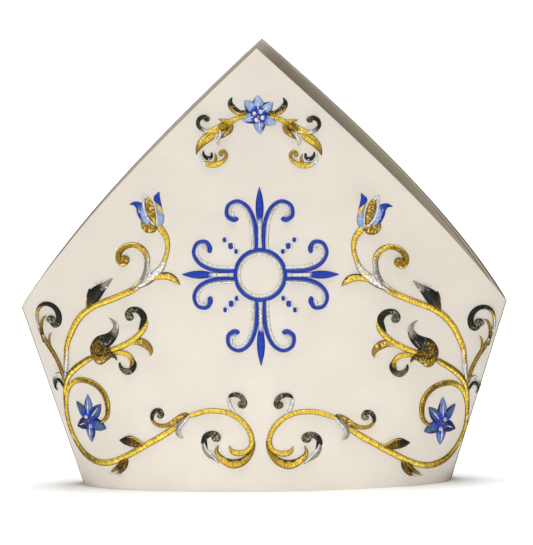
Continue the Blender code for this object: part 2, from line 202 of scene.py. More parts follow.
# Strokes of the left half. Columns: across, up and breadth, all in squares of the grid.
VINE = {
    "upper_stem": (
        (-130, 60, 3.6), (-129.6, 70, 3.2), (-129.2, 82, 3.4), (-128.2, 91, 4.4), (-125.4, 99, 4.9),
        (-121.4, 107, 5), (-116, 113.4, 5), (-108.6, 118.4, 4.8), (-100, 122, 4.8), (-91.5, 125.6, 4.8),
        (-85, 128.6, 4.8), (-79.4, 132.4, 4.8), (-75.8, 137.4, 4.8), (-74.2, 143, 4.2), (-73.8, 147, 3.8)),
    "upper_curl": (
        (-74.2, 144, 3.6), (-73.6, 150, 4.2), (-76, 155.4, 4.4), (-81.4, 158.6, 3.9), (-87.4, 157.8, 4),
        (-92, 153.6, 4.4), (-92.6, 149, 4.4), (-90.6, 146.4, 4.2), (-88.4, 147.4, 5), (-88, 149.2, 6.2),
        (-88.2, 150, 6.2)),
    "tulip_stem": (
        (-82, 130.4, 2.4), (-74.6, 134.6, 4.8), (-68.6, 139.6, 5.8), (-64.4, 144.4, 4.6),
        (-61.8, 150.4, 3.5), (-60.2, 157, 3.4), (-60.8, 163.4, 4), (-63.4, 168, 4.6), (-66.4, 171.4, 4.4)),
    "fork_leaf": (
        (-70.8, 136, 1.2), (-65, 138.6, 4.4), (-60, 138.8, 5.4), (-55.6, 136.6, 4.2), (-52.2, 133.2, 0.5)),
    "high_leaf": (
        (-113.6, 116, 2.4), (-111.4, 121, 7), (-108.2, 126, 9.4), (-104.4, 129.8, 7), (-100.6, 133, 3.6),
        (-96.6, 136.8, 0.5)),
    "high_lobe": ((-112.6, 119, 3), (-112.6, 124.2, 4), (-112.2, 128.2, 2.4), (-112, 129.8, 0.6)),
    "edge_stem": (
        (-130.6, 68, 2.4), (-132.6, 76, 3.4), (-136.4, 84, 3.8), (-141, 91, 4), (-144.8, 97.5, 3.4),
        (-147.4, 104, 2.6), (-148, 110, 2.6), (-146.6, 115.2, 3), (-143.2, 117.8, 3.3),
        (-139.2, 117.8, 3.8), (-135.4, 115.4, 4.5), (-133.2, 111, 5), (-133.6, 106.4, 5),
        (-136.2, 104.8, 5), (-138, 106.6, 5.5), (-137.8, 108, 5.5)),
    "edge_spur": (
        (-143, 92, 3.4), (-145, 99, 3.2), (-145.2, 104.6, 2.8), (-143.6, 108.6, 2), (-141.6, 110, 0.8)),
    "edge_thorn": ((-138, 86, 1.8), (-139.8, 92, 2), (-139.8, 96.6, 1.6), (-138.4, 99.6, 0.5)),
    "edge_hook": (
        (-130.8, 63.6, 1.2), (-132.4, 66.8, 2.4), (-134.4, 68, 3), (-136.4, 66.4, 3), (-136.4, 62.8, 1.8),
        (-135, 60.8, 0.5)),
    "hook_top": (
        (-130.8, 69.4, 1.6), (-132.4, 71.4, 2.6), (-134.6, 72, 3), (-137, 70, 2.4), (-138.2, 67, 1.4),
        (-138.4, 64.6, 0.6)),
    "bud_stem": (
        (-130.2, 58, 3.6), (-129.4, 66, 4.6), (-126.8, 72, 4.8), (-122.2, 77, 4.7), (-116.6, 81.2, 4.4),
        (-111, 84.8, 4)),
    "bud": (
        (-110.4, 85, 3), (-109.6, 90.2, 7), (-106, 94.2, 9.6), (-101, 96.2, 9.4), (-97, 99.8, 7),
        (-95, 104.6, 4.4), (-96.6, 108.4, 2.2), (-99.4, 110.9, 0.5)),
    "bud_cup": (
        (-110, 88.6, 2.6), (-109, 84.8, 4.6), (-105.8, 82.8, 6.2), (-102, 85, 5.2), (-98.6, 86.8, 4.6),
        (-96, 85.6, 2.6), (-94.4, 83.2, 0.5)),
    "bud_heart": ((-108.8, 89.6, 5), (-105, 88.6, 7), (-100.6, 89.8, 5.4), (-97.6, 89, 2.6)),
    "bud_branch": (
        (-100.6, 89.4, 3.4), (-95, 91, 4.2), (-89.4, 93.6, 4.6), (-84, 96.8, 4.6), (-79.6, 100.6, 4.6),
        (-76.4, 104.4, 4.2), (-74.4, 108.2, 2.2), (-74.2, 111, 0.5)),
    "bud_curl": (
        (-80, 103.4, 0.6), (-77.8, 106.6, 3.6), (-76.4, 110.8, 5), (-78, 114.6, 5), (-81.6, 116.6, 4.4),
        (-85.4, 116, 4.1), (-87.2, 113.4, 4), (-86, 111.6, 4.9), (-84.9, 111.9, 5.2)),
    "branch_leaf": (
        (-84.6, 94.6, 2), (-80.4, 96, 5), (-76.4, 95, 6), (-73.2, 92.4, 4.8), (-72, 89.6, 3),
        (-72.3, 86.8, 0.5)),
    "hook": (
        (-97, 88, 2.6), (-92.4, 88.4, 3.4), (-88, 87.6, 3.8), (-85, 84.8, 3.8), (-84.2, 81.4, 3.6),
        (-86, 79, 1.4)),
    "hook_end": (
        (-82.6, 84, 0.6), (-82.4, 80.6, 2.4), (-84.6, 77.4, 4), (-88, 76.2, 4.6), (-91.2, 77.8, 3.4),
        (-92.6, 80.4, 2), (-92.4, 82.4, 0.8)),
    "lower_stem": (
        (-130, 66, 4), (-129.8, 53, 4.8), (-129, 44, 5), (-126.6, 35, 5), (-122, 25.8, 5.2),
        (-116, 19.2, 5.2), (-108.4, 15.9, 4.9), (-101, 16.1, 4.8), (-93, 19.1, 4.6), (-84, 24, 4.7),
        (-75, 29.4, 4.7), (-66, 34.7, 4.8), (-60, 38.6, 4.6), (-55.6, 41.4, 3.4)),
    "spiral": (
        (-129.2, 52, 2), (-128.4, 60, 3), (-126, 65.6, 3.8), (-121.2, 68.9, 4), (-115.2, 69, 4.2),
        (-108.8, 66.4, 4.2), (-103.8, 61.2, 4.4), (-101.5, 55, 4.4), (-101.4, 48.4, 3.8), (-103, 44.6, 3.2),
        (-106, 42, 2.4)),
    "low_leaf": (
        (-93.8, 31.2, 0.5), (-90.4, 31, 5.4), (-86.8, 31, 7.6), (-82.6, 29.6, 6), (-77, 28.2, 3.4)),
    "hanging_leaf": ((-89.2, 20, 4), (-90.2, 16, 5), (-91.6, 13, 4.4), (-93.8, 10.6, 3), (-95.2, 9.6, 1.4)),
    "hanging_lobe": ((-91.2, 18.4, 3.4), (-94, 14.6, 3.4), (-96.6, 12, 3), (-99.4, 10.6, 1.4)),
    "scroll_leaf": (
        (-47.4, 49.8, 1), (-50, 49.2, 3.6), (-54, 46.9, 4.6), (-58, 44, 4.4), (-62.6, 42, 3.2),
        (-67.6, 41.9, 2.8), (-71, 44.2, 2.4), (-72, 47.4, 0.6)),
    "leaf_curl": (
        (-71, 43.2, 1.2), (-71.8, 47.4, 3), (-70, 51, 3.4), (-66.8, 51.6, 3.4), (-65.2, 49.2, 3.5),
        (-66.2, 47.6, 3.8), (-66.8, 47.8, 3.8)),
    "scroll_drop": (
        (-48.2, 47.6, 1.6), (-51.4, 45.4, 3.2), (-54, 41.8, 3.9), (-55, 37.8, 3.2), (-53.4, 34.8, 2),
        (-50.8, 34, 0.5)),
    "arch": (
        (-48.6, 47.6, 1.8), (-44, 49.5, 3.4), (-36.2, 51.7, 3.6), (-30.2, 52.1, 3.6), (-23.7, 51.3, 3.6),
        (-17.2, 48.8, 3.7), (-12, 44.6, 3.8), (-8.2, 39.4, 3.8), (-6.4, 33.4, 3.8), (-7.4, 28.6, 3.6),
        (-10.8, 25.6, 3.6), (-15.7, 24.8, 4.2), (-19.6, 26.2, 3.3), (-21.4, 29.8, 0.5)),
    "crescent": (
        (-5, 33.5, 1.6), (-5.4, 28.5, 2.2), (-8, 23.6, 3.8), (-12.4, 19.6, 5.6), (-18.2, 17.9, 6.4),
        (-23.7, 19.4, 5.4), (-28, 23, 3.6), (-29.6, 26.1, 2.8), (-28.3, 30.2, 0.5)),
    "scroll_grey": (
        (-27.6, 18.2, 0.8), (-31, 21.2, 2.8), (-34.8, 24, 4), (-37.6, 27.8, 3.2), (-38.6, 31.4, 1)),
    "scroll_curl": (
        (-39.2, 30.4, 1), (-38.4, 32.4, 3), (-36.4, 35.6, 4.4), (-33, 37.4, 4), (-30.2, 36.8, 4.6),
        (-29.4, 35.2, 5.8), (-29.4, 34.4, 5.8)),
    "scroll_thorn": ((-37, 34.4, 2.6), (-36.4, 31, 1.8), (-35.4, 27.6, 0.5)),
    "arch_stalk": ((-17, 50.2, 1.2), (-19.6, 54, 2.4), (-21.2, 58.4, 2.6), (-20.4, 61, 1.6)),
    "arch_curl": (
        (-21.6, 60.4, 1), (-19.6, 62.2, 2.7), (-16, 62.6, 3.5), (-12.4, 60.6, 3.7), (-10.9, 57, 3.8),
        (-12.6, 55.2, 4.4), (-13.2, 55.8, 4.4)),
}
VINE_ACCENTS = {
    "stem_glint": ((-129, 72.6, 1.4), (-127.8, 78, 1.5), (-127.6, 84, 1.5), (-126.8, 90.6, 0.6)),
    "fork_line": ((-84.6, 130.6, 1.4), (-80.8, 133.2, 1.6), (-77.8, 136, 0.8)),
    "fork_glint": ((-82, 129.6, 1.2), (-76.6, 133.6, 1.8), (-72.4, 138.4, 2.4), (-72.4, 144.4, 0.8)),
    "curl_glint": ((-73.8, 145, 1), (-73.4, 150.6, 1.3), (-75, 154, 0.6)),
    "leaf_streak": ((-107, 124, 0.6), (-105.6, 129.8, 1.6), (-102.4, 133.2, 1.4)),
    "leaf_bead_low": ((-108.4, 131.6, 0.8), (-107.6, 132.4, 1.7), (-106.6, 132.8, 0.8)),
    "leaf_bead_middle": ((-105, 133.4, 0.8), (-104.2, 133.9, 1.5), (-103.2, 134.2, 0.8)),
    "leaf_bead_right": ((-101.4, 130.2, 0.8), (-100.7, 130.9, 1.7), (-99.8, 131.2, 0.8)),
    "bud_streak": ((-100.6, 93, 0.6), (-97.8, 97, 1.5), (-95.8, 102.4, 1.6), (-95.2, 106, 1.2)),
    "bud_line": ((-109.4, 91.6, 0.8), (-109.4, 87, 1.3), (-107.6, 82.6, 1.2)),
    "sepal_line": ((-104, 84, 0.8), (-101, 86.2, 1.3), (-97, 86.6, 0.8)),
    "bud_glint": ((-93.8, 103.4, 0.6), (-93.6, 105.4, 1.4), (-94.6, 107.6, 0.6)),
    "edge_glint": ((-146.6, 101.4, 0.8), (-147.4, 106, 1.3), (-147.4, 110.4, 0.8)),
    "low_line": ((-88.4, 33.6, 0.8), (-84, 33.2, 1.5), (-80, 30.8, 1.5), (-76.4, 29.2, 0.8)),
    "drop_edge": (
        (-47.2, 49, 1.2), (-49.2, 45.8, 2.2), (-52, 42.8, 2), (-53.8, 39.6, 1.8), (-53.4, 36.6, 1.2),
        (-51.4, 34.6, 0.6)),
    "grey_edge": ((-28.4, 19, 1), (-32.2, 23, 1.6), (-35.8, 27, 1.7), (-37.6, 30.8, 1.2)),
    "left_tip": ((-101.2, 9, 0.8), (-98.6, 9.8, 1.7), (-97, 9.2, 0.8)),
    "middle_tip": ((-96.4, 8.8, 0.8), (-94.2, 8.8, 1.9), (-92.4, 9.2, 0.8)),
}

# Padded ends of curls. Columns: across, up, breadth and thread.
BALLS = {
    "vine": (
        (-88.2, 148.9, 6.4, "shaded_gold"), (-137.9, 107.9, 6, "pebbled"), (-85.6, 111.9, 5.6, "pebbled"),
        (-66.4, 48.2, 4, "pebbled"), (-29.6, 35, 6.4, "pebbled"), (-13, 56.2, 5, "pebbled")),
    "top_spray": ((-33.7, 240.7, 4.2, "dark"),),
    "top_crescent": ((-24.8, 218, 3.2, "old_gold"),),
    "tulip": (),
}

# The small group below the peak, and the tulips, with the vine's columns
SPRAY = {
    "dark_leaf": (
        (-7.4, 245.2, 3.4), (-11.4, 244.6, 3.8), (-14.6, 245.8, 4.8), (-17.4, 248.6, 4.8),
        (-18.4, 251.6, 3.4), (-17, 255, 0.5)),
    "branch": (
        (-8, 242.6, 2.4), (-13, 241.4, 3), (-18, 239, 4.2), (-22.8, 236, 6), (-28, 233.6, 5.2),
        (-33.4, 232.6, 3.2), (-37.6, 234.4, 2.8), (-39.6, 237.4, 2.8), (-38.6, 240.6, 3.2),
        (-35.8, 242, 3.4), (-33.6, 240.8, 4), (-33.5, 240.2, 4)),
    "branch_spike": ((-18, 239, 2.6), (-22, 239.4, 3), (-26.4, 240.6, 0.5)),
    "branch_lobe": ((-17.4, 237.6, 3), (-19, 233.6, 4.2), (-22, 230.6, 3.2), (-25, 228, 0.6)),
    "silver_drop": ((-25, 233.4, 1.6), (-25.2, 230, 2.4), (-27, 227, 2.4), (-26, 223.8, 1.4)),
    "long_leaf": ((-28.6, 231, 5), (-32, 229.4, 7), (-36.6, 226, 6.4), (-39.4, 222, 4), (-41, 217.4, 0.5)),
}
SPRAY_ACCENTS = {
    "lobe_line": ((-18, 236.4, 0.6), (-21, 233, 1.1), (-23.4, 230, 0.5)),
    "branch_line": ((-20, 237.6, 0.6), (-25, 234.4, 1.1), (-29, 232.8, 0.5)),
    "leaf_vein": ((-29.4, 231.6, 0.6), (-34, 228.8, 1.2), (-38.4, 223.4, 0.5)),
}
SPRAY_CRESCENT = {
    "crescent_tip": (
        (-37.6, 219, 0.8), (-37.8, 215, 2), (-35.6, 212.4, 3), (-31.4, 211.2, 4.4), (-27, 211.6, 4),
        (-23, 213.8, 3), (-21.3, 217.2, 2.7), (-22.8, 220, 2.5), (-24.9, 219.2, 2.6), (-24.6, 217.8, 2.6)),
    "spur": ((-29, 212.4, 2.6), (-28, 215.6, 2.2), (-28.8, 218.8, 0.5)),
    "hollow": (
        (-36.2, 220.2, 0.8), (-35.9, 217.4, 2.2), (-33.6, 215.3, 3), (-31, 216.2, 2.4),
        (-30.8, 219.2, 1.6)),
}
CRESCENT_ACCENTS = {
    "hollow_glint": ((-34.4, 215.6, 0.6), (-32.8, 214.9, 1.4), (-31.4, 215.4, 0.6)),
}
TULIP = {
    "left_petal": (
        (-72.6, 171.8, 3.6), (-74.6, 176, 7.4), (-76.4, 180.2, 8.4), (-78.2, 183.6, 6.6),
        (-81.4, 185.5, 3.4), (-85, 184.9, 0.5)),
    "right_petal": (
        (-66.4, 170.4, 1.8), (-65, 173.6, 4.8), (-64.6, 177.4, 5.2), (-65, 180.4, 3.6), (-65.8, 183, 1.4)),
    "right_strip": ((-63.4, 178.8, 1.4), (-64.6, 182, 3.2), (-66.2, 185, 2.8), (-67.2, 188, 0.8)),
    "right_tip": (
        (-63.8, 183.2, 0.8), (-65.4, 186.2, 3), (-66.9, 189, 4.8), (-66.2, 191.2, 3), (-65.2, 193.6, 0.5)),
    "cup": ((-76.8, 174.4, 1.2), (-75.6, 171.4, 4.4), (-73, 170, 7), (-69.8, 170.2, 7.2), (-67, 171.4, 4)),
    "cup_point": ((-73.6, 171, 4), (-74.4, 174.4, 2.6), (-74.6, 177.4, 0.5)),
    "heart": (
        (-68.2, 172.6, 1.6), (-69.6, 177, 5.6), (-71, 182.2, 7.4), (-72.4, 186.8, 5.4),
        (-73.8, 190.2, 1.6)),
}
TULIP_ACCENTS = {
    "heart_left": (
        (-67.6, 171.2, 1.4), (-71.6, 174.8, 1.6), (-74.6, 180, 1.6), (-75.6, 186.4, 1.7),
        (-76.2, 193.4, 0.5)),
    "heart_tip": ((-76, 192.4, 0.8), (-74.8, 190.4, 2.6), (-72.6, 189.2, 0.8)),
    "heart_right": ((-67, 171, 1.4), (-66.8, 176, 1.4), (-67.4, 181.4, 1.2), (-69.4, 187, 0.6)),
    "petal_streak": ((-78.4, 185.4, 2.4), (-77.4, 182, 1.4), (-77, 178.6, 0.5)),
}

# Each stroke's thread, or where it changes: shares of its length, and the thread there. Along the gold stems
# the bright gold is painted highlight, and the olive and dark golds are painted shade where a stem turns from
# the light.
CHANGES = {
    "upper_stem": (
        (0.18, "grey"), (0.22, "old_gold"), (0.34, "gold"), (0.78, "gold"), (0.82, "old_gold"),
        (0.88, "grey")),
    "upper_curl": ((0.1, "grey"), (0.16, "old_gold"), (0.3, "gold"), (0.5, "shaded_gold")),
    "tulip_stem": ((0, "grey"), (0.1, "silver"), (0.2, "glitter"), (0.48, "glitter"), (0.54, "gold")),
    "fork_leaf": ((0, "old_gold"), (0.2, "gold"), (0.8, "gold"), (1, "old_gold")),
    "high_leaf": ((0, "old_gold"), (0.12, "brown"), (0.36, "black"), (0.64, "dark"), (0.74, "grey")),
    "high_lobe": ((0, "brown"), (0.4, "dark"), (1, "black")),
    "edge_stem": (
        (0.36, "brown"), (0.4, "grey"), (0.48, "grey"), (0.52, "brown"), (0.6, "black"), (0.86, "black"),
        (0.92, "dark")),
    "edge_spur": ((0.45, "brown"), (0.6, "shaded_gold"), (1, "old_gold")),
    "edge_thorn": ((0, "brown"), (0.3, "shaded_gold"), (1, "old_gold")),
    "edge_hook": ((0, "black"), (0.3, "dark"), (1, "black")), "hook_top": ((0.5, "silver"), (0.66, "grey")),
    "bud_stem": ((0.3, "brown"), (0.5, "shaded_gold"), (0.8, "shaded_gold"), (1, "old_gold")),
    "bud": ((0.26, "brown"), (0.4, "dark"), (0.6, "black"), (0.72, "grey")),
    "bud_cup": ((0, "brown"), (0.2, "shaded_gold"), (0.4, "beaded"), (0.7, "brown")),
    "bud_heart": ((0, "beaded"), (0.3, "brown")), "bud_branch": ((0, "old_gold"), (0.1, "gold")),
    "bud_curl": ((0.45, "black"), (0.55, "dark"), (0.8, "pebbled")),
    "branch_leaf": ((0, "gold"), (0.25, "beaded"), (0.6, "beaded"), (0.8, "old_gold")),
    "hook": ((0, "old_gold"), (0.2, "gold"), (0.6, "gold"), (0.8, "shaded_gold"), (1, "brown")),
    "hook_end": ((0.25, "black"), (0.4, "pebbled"), (0.7, "pebbled"), (0.85, "dark"), (1, "black")),
    "lower_stem": (
        (0.4, "deep_shaded_gold"), (0.5, "shaded_gold"), (0.56, "gold"), (0.62, "bright_gold"), (0.7, "gold")),
    "spiral": (
        (0.26, "gold"), (0.38, "shaded_gold"), (0.5, "deep_shaded_gold"), (0.86, "deep_shaded_gold"), (1, "shaded_gold")),
    "low_leaf": ((0.36, "black"), (0.5, "brown"), (0.8, "brown"), (1, "old_gold")),
    "hanging_leaf": ((0, "old_gold"), (0.2, "brown"), (0.7, "brown"), (1, "old_gold")),
    "hanging_lobe": ((0.5, "brown"), (0.7, "old_gold")),
    "scroll_leaf": ((0, "brown"), (0.15, "beaded"), (0.45, "beaded"), (0.55, "old_gold")),
    "leaf_curl": ((0, "black"), (0.5, "dark")), "scroll_drop": ((0.8, "grey"), (1, "silver")),
    "arch": ((0.9, "gold"), (1, "old_gold")),
    "crescent": ((0, "brown"), (0.16, "shaded_gold"), (0.3, "old_gold"), (0.75, "gold"), (1, "old_gold")),
    "scroll_grey": "grey", "scroll_curl": ((0, "black"), (0.5, "dark"), (0.7, "pebbled")),
    "scroll_thorn": ((0, "dark"), (1, "black")), "arch_stalk": "silver",
    "arch_curl": ((0, "black"), (0.3, "dark"), (0.6, "pebbled")),
    "stem_glint": ((0, "silver"), (1, "glitter")), "fork_line": ((0, "gold"), (1, "glitter")),
    "fork_glint": ((0, "glitter"), (1, "silver")), "curl_glint": ((0, "silver"), (1, "glitter")),
    "leaf_bead_low": "silver", "leaf_bead_middle": "silver", "leaf_bead_right": "silver",
    "leaf_streak": ((0, "brown"), (0.4, "grey")), "bud_streak": ((0, "sequin"), (0.5, "grey")),
    "bud_line": "gold", "sepal_line": ((0, "gold"), (1, "old_gold")), "bud_glint": "silver",
    "edge_glint": "glitter", "low_line": ((0, "old_gold"), (1, "gold")), "drop_edge": "silver",
    "grey_edge": "silver", "left_tip": "silver", "middle_tip": "silver",
    "dark_leaf": ((0, "brown"), (0.3, "dark"), (0.6, "dark"), (1, "black")),
    "branch": (
        (0.2, "gold"), (0.3, "shaded_gold"), (0.42, "shaded_gold"), (0.48, "bright_gold"), (0.58, "gold"),
        (0.62, "silver"), (0.7, "dark"), (1, "black")),
    "branch_spike": ((0, "gold"), (1, "old_gold")),
    "branch_lobe": ((0, "old_gold"), (0.6, "beaded"), (1, "brown")),
    "silver_drop": ((0, "silver"), (1, "glitter")),
    "long_leaf": ((0.4, "gold"), (0.7, "old_gold"), (1, "brown")), "lobe_line": "brown",
    "branch_line": "brown", "leaf_vein": ((0, "brown"), (1, "shaded_gold")),
    "crescent_tip": ((0.24, "silver"), (0.3, "gold"), (0.6, "gold"), (0.75, "old_gold")),
    "spur": "old_gold", "hollow": ((0, "black"), (1, "dark")), "hollow_glint": "silver",
    "left_petal": ((0.5, "pale"), (0.68, "royal"), (1, "deep")), "right_petal": "pale",
    "right_strip": ((0, "gold"), (0.5, "bright_gold"), (1, "old_gold")), "right_tip": "royal",
    "cup": ((0, "brown"), (0.2, "beaded"), (0.8, "beaded"), (1, "brown")),
    "cup_point": ((0, "beaded"), (1, "brown")), "heart": "beaded", "heart_left": "silver",
    "heart_tip": "silver", "heart_right": "silver", "petal_streak": ((0.6, "royal"), (1, "pale")),
    "bud_of_cross": ((0.34, "silver"), (0.42, "royal")),
}

# Strokes with another colour along one edge: partly another thread, partly painted highlight along the lit
# side and painted shade along the other. Columns: side (1 left), from where across, thread or changes.
EDGES = {
    "upper_stem": (-1, 0.35, (
        (0, "silver"), (0.2, "glitter"), (0.26, "gold"), (0.84, "gold"), (0.9, "silver"))),
    "upper_curl": (-1, 0.4, (
        (0, "silver"), (0.12, "glitter"), (0.3, "shaded_gold"), (0.45, "bright_gold"), (0.62, "gold"),
        (0.8, "old_gold"), (0.9, "bright_gold"))),
    "edge_stem": (-1, 0.3, (
        (0.34, "old_gold"), (0.4, "glitter"), (0.48, "glitter"), (0.54, "gold"), (0.64, "old_gold"),
        (0.7, "black"))),
    "bud_stem": (-1, 0.1, ((0, "gold"), (0.5, "bright_gold"), (1, "gold"))),
    "lower_stem": (1, 0.25, ((0.36, "gold"), (0.42, "shaded_gold"), (0.5, "gold"))),
    "spiral": (1, 0.55, "gold"), "bud_curl": (-1, 0.3, "black"),
    "dark_leaf": (1, 0.2, ((0, "brown"), (0.3, "gold"), (0.62, "old_gold"), (0.7, "dark"), (1, "black"))),
    "left_petal": (1, 0.45, ((0, "pale"), (0.2, "royal"), (1, "deep"))), "crescent": (-1, 0.55, "brown"),
    "fork_leaf": (1, 0.62, "brown"),
    "tulip_stem": (-1, 0.5, (
        (0.3, "grey"), (0.36, "silver"), (0.5, "glitter"), (0.56, "bright_gold"), (1, "gold"))),
    "long_leaf": (-1, 0.4, ((0, "gold"), (0.5, "bright_gold"), (0.8, "old_gold"), (1, "brown"))),
}

# One arm of the cross, drawn upwards. Columns: across, outwards from the ring and breadth, in squares.
CROSS_HEIGHT = 140
CROSS_RING = 15
CROSS_CORD = 5.6
RING_STOPS = 16
CROSS_ARMS = ((90, 1.0), (180, 0.86), (270, 1.04), (0, 0.86))
CROSS_CURL = (
    (3.6, 0.6, 5), (3.6, 9, 5.4), (4.6, 19, 5.6), (8.2, 27.6, 5.4), (14, 31.6, 5), (19.4, 29.4, 5),
    (20.2, 24.2, 5.6), (17, 22.2, 7), (15.4, 23.4, 7.4))
CROSS_BUD = ((0, 6, 3), (0, 17, 3.4), (0, 27, 5.6), (0, 34.5, 4.6), (0, 42, 0.5))
BLUE_SHARE = 0.5
BLUE_LIFT = 0.0001
SILVER_SHARE = 0.4
CORD_APART = 0.24
BUD_LIFT = 0.0002

# The dots: how far out and how large. Their shapes: across in squares, up and breadth in dot sizes.
DOT_ROWS = ((21.4, 2.8), (26.4, 3.6), (32, 2.8))
DOT_SHAPE = ((-0.5, -0.6, 1), (-0.3, 0, 1), (-0.5, 0.6, 1))
DOT_SILVER = ((0, -0.62, 1), (0.7, 0, 1.15), (0, 0.62, 1))
DOT_LIFT = 0.0005
DOT_RISE = 0.0008
DOT_SILVER_RISE = 0.0007

# Flowers. Columns: across, up, and six petals as turn in degrees, length, breadth in squares, and thread.
TOP_FLOWER = (-0.1, 243.3, (
    (92, 12.9, 9.4, "pale"), (41, 12.6, 8.6, "pale"), (-27, 12.8, 8.8, "pale"),
    (-85, 12.6, 9, "pale"), (-161, 11.4, 8.6, "pale"), (135, 13.1, 8.6, "pale")))
SIDE_FLOWER = (-113.8, 42.6, (
    (93, 17.8, 8.2, "cornflower"), (55, 14.2, 8.2, "slate"), (-21, 12.4, 8.6, "slate"),
    (-84, 14.2, 8.6, "cornflower"), (-153, 9.2, 8.6, "deep"), (124, 15.2, 7, "slate")))

# A petal's breadth along it, where its dark base and its dark side end, and its vein, as shares of its length
PETAL_SHAPE = ((-0.1, 0.5), (0.25, 0.86), (0.48, 1), (0.74, 0.72), (0.9, 0.34), (1, 0.06))
PETAL_BASE = (0.42, 0.55)
PETAL_SIDE = (0.7, 0.9)
PETAL_SIDE_FROM = 0.6
PETAL_OVERLAP = 0.0002
PETAL_OVERLAPS = 3
PETAL_RISE = 0.0012
PETAL_VEIN = ((0.26, 0.8), (0.5, 1.3), (0.78, 0.4))
VEIN_LIFT = 0.0012
VEIN_RISE = 0.0003
VEIN_SHARE = 0.85

# Stones on a flower. Columns: across and up from its middle, radius in squares, and tint.
TINTS = {"white": (0.8, 0.77, 0.75), "smoke": (0.10, 0.085, 0.065), "amber": (0.55, 0.24, 0.03)}
TOP_STONES = (
    (-2.6, 1, 1.25, "white"), (1.4, 1.9, 1.3, "white"), (2.7, -1.7, 1.4, "white"),
    (-1.4, -3.3, 1.25, "white"), (0.1, -1, 0.75, "amber"))
SIDE_STONES = (
    (-1.5, 2.7, 1.3, "white"), (1.5, -3.2, 1.35, "white"), (1.9, 1.5, 1.2, "smoke"),
    (-2, -1.2, 1.25, "smoke"), (0, 0.1, 0.75, "amber"))

# A stone and its ring, as shares of the stone's radius, and how high they sit on the cloth
STONE_SIDES = 10
STONE_DRUM = 0.5
STONE_CROWN = 0.32
STONE_TABLE = 0.58
RING_RADIUS = 1.04
RING_WIRE = 0.15
RING_HEIGHT = 0.2
STONE_LIFT = 0.0011


def half_width(z):
    """Half the cap's width at a height; the flare goes on past the corners, where the upper edges cut it."""
    return RIM_HALF_WIDTH + (CORNER_HALF_WIDTH - RIM_HALF_WIDTH) * z / CORNER_HEIGHT


def half_depth(z):
    return RIM_HALF_DEPTH + (PEAK_HALF_DEPTH - RIM_HALF_DEPTH) * z / PEAK_HEIGHT


def fullness(z):
    """The section's exponent: an ellipse at the rim and a pointed lens from the corners up."""
    return 1 + (CORNER_FULLNESS - 1) * np.minimum(z / CORNER_HEIGHT, 1)


def edge_half_width(z):
    t = (z - CORNER_HEIGHT) / (PEAK_HEIGHT - CORNER_HEIGHT)
    return CORNER_HALF_WIDTH * (1 - t + EDGE_BOW * t * (1 - t) * (1 - EDGE_BOW_LOW * t))


def section(angle, z, inset):
    """Across and depth of a panel's section, at an angle from its middle and an inset from its outer face."""
    full = fullness(z)
    across = (half_width(z) - inset * full) * np.sin(angle)
    seam = GAP / 2
    return across, seam + (half_depth(z) - inset - seam) * np.maximum(np.cos(angle), 0) ** full


def column_top(angle):
    """The height where the cloth at an angle meets the upper edge."""
    low = np.full_like(angle, CORNER_HEIGHT)
    high = np.full_like(angle, PEAK_HEIGHT)
    for _ in range(HALVINGS):
        z = (low + high) / 2
        inside = half_width(z) * np.sin(np.abs(angle)) < edge_half_width(z)
        low = np.where(inside, z, low)
        high = np.where(inside, high, z)
    return (low + high) / 2


def ripple(x, z):
    """How far the cloth stands proud: broad soft waves, and fine upright puckers just above the rim."""
    fade = np.maximum(1 - (x / half_width(z)) ** 2, 0)
    waves = WAVE_HEIGHT
    for across, up, start in WAVES:
        waves = waves * np.sin(across * x + up * z + start)
    turn, bends = PUCKER_WANDER
    puckers = PUCKER_HEIGHT * np.exp(-z / PUCKER_REACH) * np.sin(PUCKERS * x + turn * np.sin(bends * x))
    return fade * (waves + puckers * (1 + PUCKER_LEFT * np.tanh(-x / PUCKER_MIDDLE)))


def face(x, z):
    """The point of the front cloth that a front view shows at (x, z)."""
    flat = np.maximum(1 - (x / half_width(z)) ** 2, 0)
    seam = GAP / 2
    y = -seam - (half_depth(z) - seam) * flat ** (fullness(z) / 2) - ripple(x, z)
    return np.stack([x, y, z], axis=-1)


def unit(vectors):
    return vectors / np.maximum(np.linalg.norm(vectors, axis=-1, keepdims=True), NEARLY_ZERO)


def facing(x, z):
    """The direction straight out of the front cloth at (x, z)."""
    here = face(x, z)
    return unit(np.cross(face(x + TINY, z) - here, face(x, z + TINY) - here))


def run_along(path):
    """The length of a path up to each of its points."""
    return np.concatenate([[0], np.cumsum(np.linalg.norm(np.diff(path, axis=0), axis=1))])


def grid_point(across, up):
    """A place on the drawing's grid, carried to the panel, where the drawing sits slightly askew."""
    leaning = across + LEAN * up
    dropped = up - DROP * across
    low = dropped / GRID_CORNER_UP
    z = CORNER_HEIGHT * low
    if low > 1:
        high = (dropped - GRID_CORNER_UP) / (GRID_PEAK_UP - GRID_CORNER_UP)
        z = CORNER_HEIGHT + (PEAK_HEIGHT - CORNER_HEIGHT) * high
    grid_half_width = GRID_RIM_ACROSS + (GRID_CORNER_ACROSS - GRID_RIM_ACROSS) * low
    return leaning * half_width(z) / grid_half_width, z


def heading(degrees):
    """The way that a turn on the grid points, as across and up."""
    return math.cos(math.radians(degrees)), math.sin(math.radians(degrees))


# Materials

def add(tree, kind, settings=(), inputs=()):
    """A node with its settings, and each input linked to a socket or given a value."""
    node = tree.nodes.new(kind)
    for name, value in dict(settings).items():
        setattr(node, name, value)
    for name, value in dict(inputs).items():
        socket = node.inputs[name]
        if isinstance(value, bpy.types.NodeSocket):
            tree.links.new(value, socket)
        else:
            socket.default_value = value
    return node


def maths(tree, operation, *values):
    """The result of one sum on numbers or sockets."""
    return add(tree, "ShaderNodeMath", {"operation": operation}, enumerate(values)).outputs[0]


